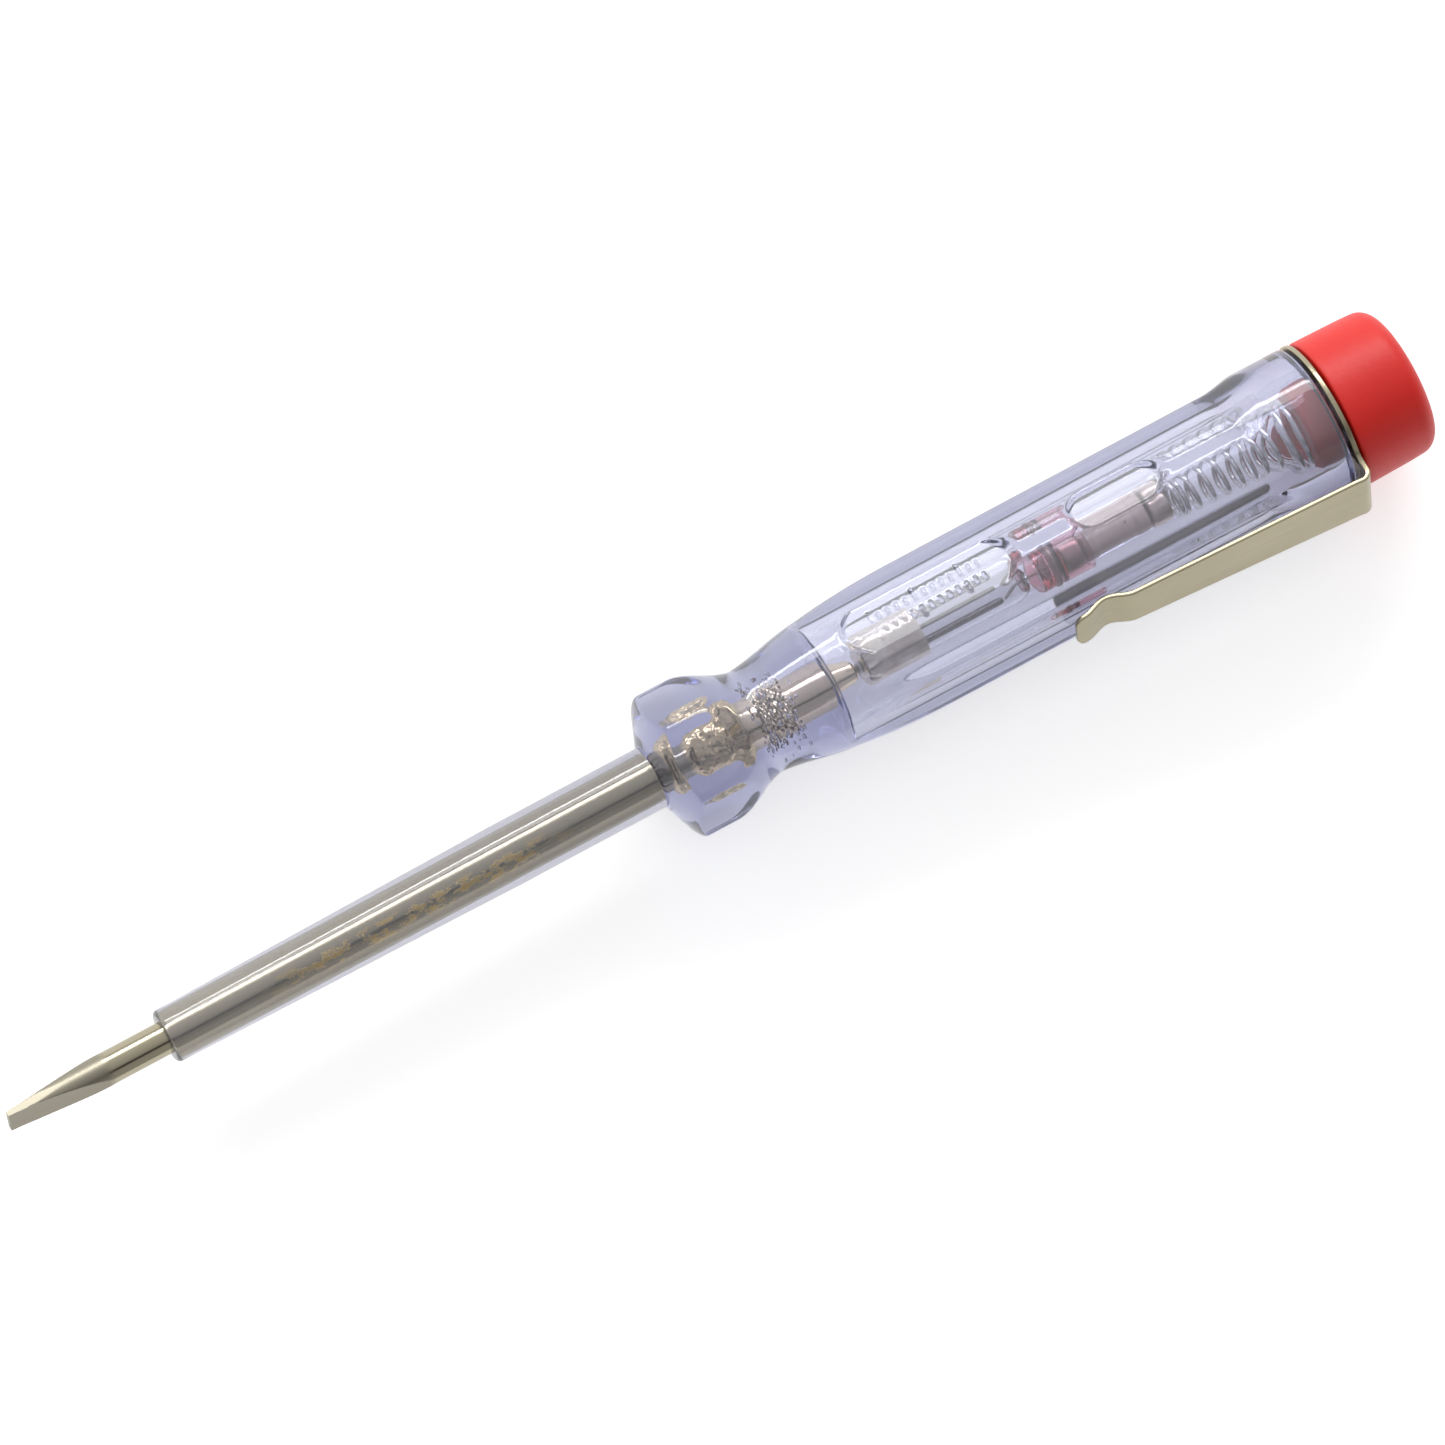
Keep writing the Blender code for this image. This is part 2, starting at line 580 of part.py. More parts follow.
def spring_points():
    """The wire's centre line: close coils at the resistor, then open and widening ones."""
    close_rise = SPRING_CLOSE_COILS * SPRING_CLOSE_PITCH * 2 * SPRING_WIRE_RADIUS
    turns = SPRING_CLOSE_COILS + SPRING_OPEN_COILS + SPRING_SEAT_COILS
    count = int(turns * SPRING_POINTS_PER_COIL)
    length = SPRING_END - SPRING_START
    points = []
    for i in range(count + 1):
        turn = turns * i / count
        if turn < SPRING_CLOSE_COILS:
            rise = close_rise * turn / SPRING_CLOSE_COILS
        else:
            t = (turn - SPRING_CLOSE_COILS) / (turns - SPRING_CLOSE_COILS)
            rise = close_rise + (length - close_rise) * (t + 0.12 * (t - t**8))  # closes at the end
        share = rise / length
        radius = SPRING_FRONT_RADIUS + (SPRING_REAR_RADIUS - SPRING_FRONT_RADIUS) * share
        angle = 2 * math.pi * turn
        points.append((radius * math.cos(angle), radius * math.sin(angle), SPRING_START + rise))
    return points


def make_wire(name, points, radius, material):
    curve = bpy.data.curves.new(name, "CURVE")
    curve.dimensions = "3D"
    curve.bevel_depth = radius
    curve.bevel_resolution = 2
    curve.use_fill_caps = True
    spline = curve.splines.new("POLY")
    spline.points.add(len(points) - 1)
    for point, place in zip(spline.points, points):
        point.co = (*place, 1.0)
    return add_object(name, curve, material)


# ---- Cap ------------------------------------------------------------------------------------------
def make_cap():
    pull = bpy.data.objects.new("cap_slide", None)
    pull.parent = TOOL
    pull.location = (0.0, 0.0, CAP_START)
    PARTS.objects.link(pull)
    top = CAP_LENGTH
    edge = CAP_EDGE_ROUND
    profile = [(0.0, top), (CAP_REAR_RADIUS / 2, top - CAP_DOME / 3)]
    profile += arc((CAP_REAR_RADIUS - edge, top - CAP_DOME - edge), edge, 80, 0, 7)
    edge = CAP_FRONT_CHAMFER
    profile += [(CAP_FRONT_RADIUS, 2 * edge), (CAP_FRONT_RADIUS - edge, 0.0)]
    plug_end = PLUG_START - CAP_START
    edge = PLUG_CHAMFER
    profile += [(PLUG_RADIUS, 0.0), (PLUG_RADIUS, plug_end + edge)]
    profile += [(PLUG_RADIUS - edge, plug_end), (PLUG_HOLLOW_RADIUS, plug_end)]
    profile += [(PLUG_HOLLOW_RADIUS, plug_end + PLUG_HOLLOW_DEPTH)]
    profile += [(0.0, plug_end + PLUG_HOLLOW_DEPTH)]
    return turned("end_cap", profile, RED, steps=ROUND_STEPS, parent=pull)


# ---- Pocket clip ------------------------------------------------------------------------------------
def make_clip_ring():
    inner, outer = RING_BORE_RADIUS, COLLAR_RADIUS
    low, high = RING_START, RING_END
    profile = [(inner, high), (outer, high), (outer, low), (inner, low)]
    ring = turned("clip_ring", profile, NICKEL, ring=True, steps=ROUND_STEPS)
    start = (inner + outer) / 2
    outline = [(start, low), (start, high), (TAB_END, high), (TAB_END, low)]
    tab = prism("clip_tab", outline, CLIP_BEND_WIDTH - 2 * CLIP_TAB_MARGIN)
    boolean(ring, turn_to(tab, CLIP_ANGLE), "UNION")
    return ring


def arm_rise(along):
    """How far the sheet's middle stands from the tool's axis, at a distance from the arm's tip."""
    bend = CLIP_BEND_OUTER - CLIP_THICKNESS / 2
    dent_line = CLIP_DENT_MIDDLE + CLIP_DENT_DEPTH
    slope = (bend - dent_line) / (CLIP_LENGTH - CLIP_DENT_CENTRE)
    straight = dent_line + slope * (along - CLIP_DENT_CENTRE)
    offset = (along - CLIP_DENT_CENTRE) / CLIP_DENT_HALF_LENGTH
    dent = 0.5 + 0.5 * math.cos(math.pi * offset) if abs(offset) < 1 else 0.0
    return straight - CLIP_DENT_DEPTH * dent


def make_clip_arm():
    hinge = bpy.data.objects.new("clip_hinge", None)
    hinge.parent = TOOL
    out = math.radians(CLIP_ANGLE)
    pivot = Vector((TAB_END * math.cos(out), TAB_END * math.sin(out), RING_START))
    hinge.location = pivot
    hinge.rotation_euler = (0.0, 0.0, out)
    PARTS.objects.link(hinge)

    steps = 26
    bend = CLIP_BEND_ROUND
    top = RING_END - CLIP_THICKNESS / 2
    path = []
    for i in range(steps):
        along = (CLIP_LENGTH - bend) * i / steps
        path.append((arm_rise(along), CLIP_TIP + along))
    path += arc((arm_rise(CLIP_LENGTH) - bend, top - bend), bend, 0, 50, 3)

    shape = bmesh.new()
    rows = []
    for x, z in path:
        share = (z - CLIP_TIP) / CLIP_LENGTH
        half = (CLIP_TIP_WIDTH + (CLIP_BEND_WIDTH - CLIP_TIP_WIDTH) * share) / 2
        if z < CLIP_TIP + CLIP_TIP_ROUND:
            half -= CLIP_TIP_ROUND
        across = [-half, -half / 3, half / 3, half]
        rows.append([shape.verts.new((x - TAB_END, y, z - RING_START)) for y in across])
    for low, high in zip(rows, rows[1:]):
        for i in range(len(low) - 1):
            shape.faces.new((low[i], low[i + 1], high[i + 1], high[i]))
    mesh = bpy.data.meshes.new("clip_arm")
    shape.to_mesh(mesh)
    shape.free()
    arm = add_object("clip_arm", mesh, NICKEL, parent=hinge)
    thick = arm.modifiers.new("Sheet", "SOLIDIFY")
    thick.thickness = CLIP_THICKNESS
    thick.offset = 0.0
    return arm


# ---- Build --------------------------------------------------------------------------------------------
clear_scene()
PARTS = new_collection("neon_mains_tester")
CUTTERS = new_collection("cutters")

STEEL = new_material("nickel_plated_steel", (0.46, 0.43, 0.36), 0.28, 1.0)
NICKEL = new_material("clip_nickel", (0.52, 0.49, 0.40), 0.32, 1.0)
BRASS = new_material("contact_metal", (0.52, 0.47, 0.36), 0.35, 1.0)
SOLDER = new_material("solder", (0.55, 0.55, 0.55), 0.4, 1.0)
TINNED = new_material("tinned_cap", (0.42, 0.36, 0.32), 0.4, 1.0)
ELECTRODE = new_material("electrode_grey", (0.28, 0.27, 0.27), 0.6, 0.6)
CLEAR = new_material("clear_handle_plastic", (0.70, 0.70, 0.90), 0.08, 0.0, 0.9)
GLASS = new_material("lamp_glass", (0.95, 0.95, 0.97), 0.02, 0.0, 0.95)
RED_CLEAR = new_material("clear_red_plastic", (0.70, 0.12, 0.14), 0.2, 0.0, 0.6)
RED = new_material("red_cap_plastic", (0.76, 0.03, 0.02), 0.42)
CERAMIC = new_material("resistor_ceramic", (0.56, 0.42, 0.38), 0.45)

TOOL = bpy.data.objects.new("tool_axis", None)
TOOL.rotation_euler = (0.0, math.radians(90.0), 0.0)
PARTS.objects.link(TOOL)

make_blade()
make_sleeve()
make_handle()
make_lamp()
make_resistor_stack()
make_wire("contact_spring", spring_points(), SPRING_WIRE_RADIUS, STEEL)
make_cap()
make_clip_ring()
make_clip_arm()
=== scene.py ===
# %% [markdown]
# # A neon mains tester screwdriver
#
# The packed model is the frame: it says how long each piece is and where it sits. Everything
# below dresses it. The tool lies along X with its ground tip at the origin and its red cap at
# the far end, and +Z is the side that faces up.

# %% The fixed frame
import math
import random

import bmesh
import bpy
from mathutils import Matrix, Vector, noise


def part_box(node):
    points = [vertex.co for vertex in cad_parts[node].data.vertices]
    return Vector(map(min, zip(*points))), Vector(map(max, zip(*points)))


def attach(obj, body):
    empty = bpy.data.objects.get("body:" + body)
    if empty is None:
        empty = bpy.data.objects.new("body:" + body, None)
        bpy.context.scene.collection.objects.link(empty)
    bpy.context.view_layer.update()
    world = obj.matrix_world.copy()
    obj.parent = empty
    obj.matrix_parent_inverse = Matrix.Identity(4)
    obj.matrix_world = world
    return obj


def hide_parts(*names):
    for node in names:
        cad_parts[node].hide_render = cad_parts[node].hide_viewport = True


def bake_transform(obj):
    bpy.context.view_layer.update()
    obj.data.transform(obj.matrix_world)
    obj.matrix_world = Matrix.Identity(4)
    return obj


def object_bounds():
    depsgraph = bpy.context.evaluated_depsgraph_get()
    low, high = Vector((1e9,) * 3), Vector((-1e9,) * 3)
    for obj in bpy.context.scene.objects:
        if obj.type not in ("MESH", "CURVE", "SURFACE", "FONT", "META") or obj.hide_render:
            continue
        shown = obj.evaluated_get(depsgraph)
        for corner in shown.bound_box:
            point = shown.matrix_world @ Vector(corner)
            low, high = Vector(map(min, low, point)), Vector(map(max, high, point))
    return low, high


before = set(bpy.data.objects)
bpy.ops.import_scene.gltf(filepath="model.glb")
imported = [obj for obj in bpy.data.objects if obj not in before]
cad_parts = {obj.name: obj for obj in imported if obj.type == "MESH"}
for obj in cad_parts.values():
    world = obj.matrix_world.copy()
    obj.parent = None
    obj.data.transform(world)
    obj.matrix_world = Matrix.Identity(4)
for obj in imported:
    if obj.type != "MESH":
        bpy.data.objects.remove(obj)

cad_low, cad_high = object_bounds()
MM = 0.001

# %% [markdown]
# ## Camera
#
# A small tool is shown with a long lens from almost straight above, so that its outline keeps
# its true shape. The view is rolled, and the tool runs from the lower left to the upper right.
# The tip comes a little nearer to the lens than the cap does.

# %% Camera
FRAME_WIDTH = 125.49 * MM  # what the picture spans where the tool lies
LENS = 400.0
SENSOR = 36.0
TILT = math.radians(11.0)
ROLL = math.radians(28.15)
AIM_STATION = 71.61 * MM
AIM_SIDE = 1.28 * MM

toward = Vector((-math.sin(TILT), 0.06, math.cos(TILT))).normalized()
along = (Vector((1, 0, 0)) - toward * toward.x).normalized()
across = toward.cross(along)
right = along * math.cos(ROLL) - across * math.sin(ROLL)
up = along * math.sin(ROLL) + across * math.cos(ROLL)
lens = bpy.data.cameras.new("long_lens")
lens.lens = LENS
lens.sensor_width = SENSOR
camera = bpy.data.objects.new("camera", lens)
bpy.context.scene.collection.objects.link(camera)
aim = Vector((AIM_STATION, 0, 0)) + across * AIM_SIDE
camera.location = aim + toward * (FRAME_WIDTH * LENS / SENSOR)
camera.rotation_euler = Matrix((right, up, toward)).transposed().to_euler()
bpy.context.scene.camera = camera
print("camera stands", round(camera.location.length, 3), "m away")

# %% [markdown]
# ## Driving sizes
#
# The boxes of the packed nodes give most places. The few sizes that a box cannot tell, such as
# where the neck is thinnest, are named here. A station is a distance from the tip along X.

# %% Driving sizes
handle_low, handle_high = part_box("handle_body")
rod_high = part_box("blade_rod")[1]
sleeve_low, sleeve_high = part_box("blade_sleeve")
ferrule_low, ferrule_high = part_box("lamp_ferrule")
cap_low, cap_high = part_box("end_cap")
ring_low, ring_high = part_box("clip_ring")
GUARD_START = handle_low.x
HANDLE_END = handle_high.x
ROD_RADIUS = 1.5 * MM
SLEEVE_RADIUS = sleeve_high.z
GUARD_RIM_START = GUARD_START + 1.7 * MM
GUARD_RIM_END = GUARD_RIM_START + 3.6 * MM
NECK_STATION = GUARD_RIM_END + 5.1 * MM
CREASE_STATION = NECK_STATION + 7.0 * MM
BODY_FULL_STATION = CREASE_STATION + 10.3 * MM
FLATS_END = CREASE_STATION + 41.6 * MM
COLLAR_START = FLATS_END + 3.4 * MM
COLLAR_RADIUS = handle_high.z
BODY_RADIUS = COLLAR_RADIUS - 0.46 * MM
BODY_FLAT = BODY_RADIUS - 0.7 * MM
GUARD_RADIUS = BODY_RADIUS + 0.15 * MM
GUARD_FLAT = GUARD_RADIUS - 0.75 * MM
WING_START = GUARD_START + 3.1 * MM
WING_END = WING_START + 5.0 * MM
NECK_RADIUS = 4.93 * MM
CREASE_RADIUS = BODY_RADIUS - 0.63 * MM
CHAMBER_FRONT = 3.85 * MM
CHAMBER_REAR = 4.2 * MM
BORE = ROD_RADIUS - 0.05 * MM  # moulded plastic grips the rod, so its bore is inside the metal
WING_BORE = 0.55 * MM
EDGE = 0.3 * MM
SIXTH_TURN = math.radians(60)
print("handle", round(GUARD_START / MM, 1), "to", round(HANDLE_END / MM, 1))

# %% [markdown]
# ## Making a mesh into a piece
#
# Most of this tool is turned work, so one helper spins a profile round the X axis. Doubles on
# the axis are merged before the normals are worked out, which closes the poles. Another helper
# hands the finished mesh over: it rides on a body and hides the CAD nodes it takes the place of.

# %% Helpers for shapes
def spun(profile, steps, closed=False):
    """A turned form from (station, radius) points, as a bmesh."""
    shape = bmesh.new()
    points = [shape.verts.new((x, 0.0, r)) for x, r in profile]
    edges = [shape.edges.new(pair) for pair in zip(points, points[1:])]
    if closed:
        edges.append(shape.edges.new((points[-1], points[0])))
    bmesh.ops.spin(
        shape, geom=points + edges, cent=(0, 0, 0), axis=(1, 0, 0),
        angle=2 * math.pi, steps=steps, use_merge=True,
    )
    bmesh.ops.remove_doubles(shape, verts=shape.verts, dist=1e-8)
    bmesh.ops.recalc_face_normals(shape, faces=shape.faces)
    return shape


def new_piece(name, shape, material, sharp=50.0):
    """An object at the origin from a bmesh, smooth but for edges sharper than an angle."""
    mesh = bpy.data.meshes.new(name)
    shape.to_mesh(mesh)
    shape.free()
    mesh.shade_smooth()
    mesh.set_sharp_from_angle(angle=math.radians(sharp))
    mesh.materials.append(material)
    obj = bpy.data.objects.new(name, mesh)
    bpy.context.scene.collection.objects.link(obj)
    print(name, len(mesh.polygons), "faces")
    return obj


def hand_over(obj, body, slot, *nodes):
    """The piece rides on a body and takes the place of CAD nodes, which it hides. The slot is not used."""
    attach(obj, body)
    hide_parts(*nodes)
    return obj


print("nodes to dress", len(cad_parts))

# %% [markdown]
# A few number helpers are used for every profile: a rounded corner between two limits, a soft
# step, evenly spaced stations and the points of a round edge.

# %% Helpers for profiles
def smooth_min(a, b, soft):
    """The smaller of two numbers, with the corner between them rounded."""
    h = max(soft - abs(a - b), 0.0) / soft
    return min(a, b) - h * h * soft / 4


def ease(t, curve=0.0):
    """A soft S from 0 to 1, mixed with a straight line."""
    t = min(max(t, 0.0), 1.0)
    return (1 - curve) * t * t * (3 - 2 * t) + curve * t


def stops(start, end, step):
    """Evenly spaced stations from start up to end, about a step apart, without the end."""
    count = max(1, round((end - start) / step))
    return [start + (end - start) * i / count for i in range(count)]


def arc(x, r, size, first, last, steps):
    """Points of a round edge about (x, r). Angles are in degrees, and 0 points along X."""
    turns = [math.radians(first + (last - first) * i / steps) for i in range(steps + 1)]
    return [(x + size * math.cos(turn), r + size * math.sin(turn)) for turn in turns]


print("a quarter round of 1 mm in three steps", [round(r / MM, 2) for _, r in arc(0, 0, MM, 0, 90, 3)])

# %% [markdown]
# ## Shader arithmetic
#
# A finish is a small calculation on the surface. The class below wraps a node's output, so that
# Python's own +, - and * build Math nodes, and a recipe reads like a formula.

# %% Arithmetic on sockets
class Socket:
    """A node's output that takes part in Python arithmetic."""

    def __init__(self, finish, socket):
        self.finish = finish
        self.socket = socket

    def maths(self, operation, first, second):
        settings = {"operation": operation}
        return self.finish.node("Math", settings, {0: first, 1: second})

    def __add__(self, other):
        return self.maths("ADD", self, other)

    def __sub__(self, other):
        return self.maths("SUBTRACT", self, other)

    def __rsub__(self, other):
        return self.maths("SUBTRACT", other, self)

    def __mul__(self, other):
        return self.maths("MULTIPLY", self, other)

    __radd__ = __add__
    __rmul__ = __mul__


print("operators", [name for name in vars(Socket) if name.endswith(("add__", "sub__", "mul__"))])

# %% [markdown]
# The second class is a material that grows node by node. One method makes any node, and the
# few short ones below it name what the recipes use most: noise, masks, mixes and bump.

# %% Building a finish
class Finish:
    """A material that is built up node by node."""

    def __init__(self, name):
        self.material = bpy.data.materials.new(name)
        self.material.use_nodes = True
        self.tree = self.material.node_tree
        self.tree.nodes.clear()
        self.place = self.node("TexCoord", output="Object")

    def node(self, kind, settings=None, values=None, output=0):
        """Any node: its settings first, then the values or links of its sockets."""
        made = self.tree.nodes.new("ShaderNode" + kind)
        for key, value in (settings or {}).items():
            setattr(made, key, value)
        for key, value in (values or {}).items():
            if isinstance(value, Socket):
                self.tree.links.new(value.socket, made.inputs[key])
            else:
                made.inputs[key].default_value = value
        return Socket(self, made.outputs[output]) if made.outputs else made

    def mapped(self, scale):
        return self.node("Mapping", None, {"Vector": self.place, "Scale": scale})

    def noise(self, scale, detail=3.0, stretch=(1, 1, 1), rough=0.5):
        values = {"Vector": self.mapped(stretch), "Scale": scale, "Detail": detail, "Roughness": rough}
        return self.node("TexNoise", None, values, "Fac")

    def mask(self, fac, low, high):
        """0 below low, 1 above high."""
        values = {"Value": fac, "From Min": low, "From Max": high}
        return self.node("MapRange", {"clamp": True}, values)

    def mix(self, fac, a, b):
        """A colour between a and b."""
        values = {"Factor": fac, 6: a, 7: b}
        return self.node("Mix", {"data_type": "RGBA"}, values, 2)

    def axis(self, name):
        """The X, Y or Z of the place on the tool, in metres."""
        return self.node("SeparateXYZ", None, {"Vector": self.place}, name)

    def bump(self, height, distance, strength=1.0):
        values = {"Height": height, "Distance": distance, "Strength": strength}
        return self.node("Bump", None, values, "Normal")

    def surface(self, volume=None, **values):
        """Ends the recipe. Names are the shader's sockets, with _ for a space."""
        sockets = {key.replace("_", " "): value for key, value in values.items()}
        shader = self.node("BsdfPrincipled", None, sockets)
        inputs = {"Surface": shader}
        if volume:
            inputs["Volume"] = volume
        self.node("OutputMaterial", None, inputs)
        print("finish", self.material.name, "has", len(self.tree.nodes), "nodes")
        return self.material


def rgb(r, g, b):
    return (r, g, b, 1.0)


print("a finish can", [name for name in vars(Finish) if not name.startswith("_")])

# %% [markdown]
# ## Nickel plate
#
# The rod is drawn steel with a thin, slightly yellow nickel plate. Drawing leaves fine lines
# along the rod, and handling leaves short scratches and duller patches. The lines are noise
# that is stretched along X, and the same noise drives roughness and a very small bump.

# %% Nickel on the rod
GROUND_START, GROUND_END = 9.2 * MM, 10.0 * MM
WORN_FROM, WORN_TO = (24 * MM, 30 * MM), (49 * MM, 56 * MM)  # where wear fades in and out
WORN_NEAR, WORN_FAR = (-1.2 * MM, -0.8 * MM), (-0.1 * MM, 0.3 * MM)


def nickel_rod():
    made = Finish("nickel_rod")
    drawn = made.noise(900.0, 2.0, (0.02, 1, 1))
    cloud = made.noise(160.0, 4.0, (0.45, 1, 1), 0.6)
    station = made.axis("X")
    ground = 1 - made.mask(station, GROUND_START, GROUND_END)
    pressed = made.mask(station, WING_START - 0.3 * MM, WING_START + 0.3 * MM)
    pressed = pressed * (1 - made.mask(station, WING_END - 0.3 * MM, WING_END + 0.3 * MM))
    crack = made.noise(2200.0, 4.0, rough=0.65)
    covered = made.mask(station, *WORN_FROM) * (1 - made.mask(station, *WORN_TO))
    side = made.axis("Y")
    covered = covered * made.mask(side, *WORN_NEAR) * (1 - made.mask(side, *WORN_FAR))
    rubbed_and_glint = made.mask(made.noise(1500.0, 5.0, (0.35, 1, 1), 0.7), 0.50, 0.56) * covered
    inside = made.mask(station, WING_END - 0.5 * MM, WING_END + 0.5 * MM)
    base = made.mix(cloud, rgb(0.35, 0.315, 0.225), rgb(0.46, 0.42, 0.31))
    # Past the wings (inside) the same nickel is painted a lighter gold: a painted warm reflection on the rod
    # within the handle.
    base = made.mix(inside, base, rgb(0.94, 0.80, 0.55))
    # The rubbed specks are real worn spots, rougher and raised a little, and their warm gold colour is a
    # painted glint.
    warm = made.mix(rubbed_and_glint, base, rgb(0.80, 0.56, 0.18))
    # On the pressed wings the nickel is painted gold, a painted warm reflection, with darker marks where the
    # crack noise is high.
    painted_gold_sheen = made.mix(made.mask(crack, 0.54, 0.66), rgb(1.0, 0.80, 0.42), rgb(0.48, 0.32, 0.17))
    plate = made.mix(ground * 0.85, warm, rgb(0.27, 0.25, 0.20))
    colour = made.mix(pressed, plate, painted_gold_sheen)
    grinding = made.noise(2600.0, 2.0, (1, 0.03, 0.03))
    height = drawn * (1 - ground) + grinding * ground * 2 + rubbed_and_glint * 2.5 + crack * pressed * 8
    return made.surface(
        Base_Color=colour, Metallic=1.0,
        Roughness=0.09 + cloud * 0.10 + rubbed_and_glint * 0.24 + ground * 0.24 + drawn * 0.05 - pressed * 0.08,
        Normal=made.bump(height, 0.006 * MM),
    )


NICKEL_ROD = nickel_rod()

# %% [markdown]
# ## Clear plastics
#
# Handle and sleeve are transparent. The handle has a lavender tint that gets deeper where light
# has further to go, so the tint is in the volume, not on the surface. The surface is a
# polished mould's: smooth, with a slow waviness.

# %% Clear plastics
def clear_plastic(name, tint, density, wave, clear=1.0):
    made = Finish(name)
    slow = made.noise(170.0, 1.5, (0.5, 1, 1))
    volume = made.node("VolumeAbsorption", None, {"Color": rgb(*tint), "Density": density})
    return made.surface(
        volume, Base_Color=rgb(0.96, 0.96, 1.0), Roughness=0.02, IOR=1.53,
        Transmission_Weight=clear, Specular_IOR_Level=1.0, Normal=made.bump(slow, wave),
    )


HANDLE_PLASTIC = clear_plastic("lavender_plastic", (0.15, 0.18, 0.52), 105.0, 0.03 * MM, 0.92)
SLEEVE_PLASTIC = clear_plastic("sleeve_plastic", (0.20, 0.20, 0.33), 170.0, 0.02 * MM, 0.93)
RED_PLASTIC_CLEAR = clear_plastic("clear_red_plastic", (0.90, 0.25, 0.28), 900.0, 0.02 * MM)


def tube_glass():
    made = Finish("tube_glass")
    draw = made.noise(300.0, 1.0, (0.15, 1, 1))
    return made.surface(
        Base_Color=rgb(0.98, 0.98, 0.99), Roughness=0.01, IOR=1.5,
        Transmission_Weight=1.0, Normal=made.bump(draw, 0.015 * MM),
    )


TUBE_GLASS = tube_glass()

# %% [markdown]
# ## Small metals
#
# The lamp's cap, its wires, the solder, the resistor's caps and the spring are all metal, and
# differ in colour, in how mottled they are and in how rough. One recipe with a few arguments
# covers them, so that they look related, as parts from one assembly line do.

# %% Small metals
def small_metal(name, light, dark, rough, grain, bump, stretch=(1, 1, 1)):
    made = Finish(name)
    mottle = made.noise(grain, 4.0, stretch, 0.6)
    fine = made.noise(grain * 5, 2.0, stretch)
    return made.surface(
        Base_Color=made.mix(made.mask(mottle, 0.35, 0.65), rgb(*dark), rgb(*light)),
        Metallic=1.0, Roughness=rough + mottle * 0.18,
        Normal=made.bump(mottle + fine * 0.4, bump),
    )


LAMP_CAP = small_metal("lamp_cap_nickel", (0.84, 0.78, 0.66), (0.60, 0.52, 0.41), 0.14, 500.0, 0.02 * MM)
SOLDER = small_metal("solder", (0.62, 0.62, 0.62), (0.34, 0.34, 0.35), 0.30, 900.0, 0.05 * MM)
LEAD_WIRE = small_metal("lead_wire", (0.52, 0.50, 0.47), (0.36, 0.33, 0.30), 0.22, 800.0, 0.01 * MM)
ELECTRODE = small_metal("electrode_grey", (0.42, 0.41, 0.41), (0.26, 0.25, 0.25), 0.42, 900.0, 0.03 * MM)
DISC_METAL = small_metal("disc_metal", (0.36, 0.26, 0.22), (0.15, 0.10, 0.09), 0.28, 600.0, 0.02 * MM)
RESISTOR_CAP = small_metal("tarnished_tin", (0.74, 0.64, 0.56), (0.44, 0.34, 0.28), 0.26, 520.0, 0.04 * MM)
SPRING_WIRE = small_metal(
    "spring_wire", (0.90, 0.89, 0.87), (0.62, 0.61, 0.60), 0.16, 700.0, 0.01 * MM, (1, 1, 1)
)

# %% [markdown]
# ## Resistor lacquer
#
# A ceramic rod under a dip of tan lacquer: a soft mottle below a glossy coat.

# %% Resistor lacquer
def resistor_lacquer():
    made = Finish("resistor_lacquer")
    mottle = made.noise(420.0, 4.0, rough=0.6)
    speck = made.mask(made.noise(1500.0, 2.0), 0.66, 0.72)
    tan = made.mix(mottle, rgb(0.62, 0.44, 0.36), rgb(0.82, 0.66, 0.57))
    return made.surface(
        Base_Color=made.mix(speck, tan, rgb(0.44, 0.29, 0.23)), Roughness=0.34 + mottle * 0.1,
        Coat_Weight=0.7, Coat_Roughness=0.06, Normal=made.bump(mottle, 0.02 * MM),
    )


RESISTOR_LACQUER = resistor_lacquer()

# %% [markdown]
# ## Clip plate
#
# The clip is rolled sheet. Its grain runs along the arm, and its plate is warmer than the
# rod's. Rolling lines are noise stretched along X, with a few deeper hairlines among them.

# %% Clip plate
def clip_plate():
    made = Finish("clip_plate")
    grain = made.noise(1500.0, 3.0, (0.03, 1, 1), 0.6)
    hairline = made.mask(made.noise(900.0, 1.0, (0.02, 1, 1)), 0.60, 0.66)
    cloud = made.noise(220.0, 3.0, (0.5, 1, 1))
    plate = made.mix(cloud, rgb(0.32, 0.285, 0.19), rgb(0.45, 0.405, 0.285))
    return made.surface(
        Base_Color=made.mix(hairline * 0.35, plate, rgb(0.34, 0.30, 0.22)), Metallic=1.0,
        Roughness=0.18 + grain * 0.16 + cloud * 0.08,
        Normal=made.bump(grain - hairline * 0.5, 0.010 * MM),
    )


CLIP_PLATE = clip_plate()

# %% [markdown]
# ## Red cap plastic
#
# The cap is an opaque red moulding with a satin skin: a fine spark-eroded grain in the mould
# scatters its highlight. Two sizes of noise make the grain, and a slow one shifts the colour.

# %% Red cap plastic
def cap_plastic():
    made = Finish("cap_plastic")
    grain = made.noise(2400.0, 3.0, rough=0.6)
    slow = made.noise(130.0, 3.0)
    return made.surface(
        Base_Color=made.mix(slow, rgb(0.58, 0.008, 0.004), rgb(0.68, 0.014, 0.007)),
        Roughness=0.40 + grain * 0.14, IOR=1.5, Normal=made.bump(grain, 0.020 * MM),
        Subsurface_Weight=0.04, Subsurface_Scale=0.6 * MM,
    )


CAP_PLASTIC = cap_plastic()

# %% [markdown]
# ## Handle
#
# The handle is one clear moulding. It starts as a turned form: guard, neck, body, collar. Then
# six flats are taken off it, and two pads off one corner. On a fine spun mesh each of those is
# a limit on how far a vertex may be from the axis, with the corner between limits rounded, which
# keeps the reflections clean where a cut would leave long thin faces.

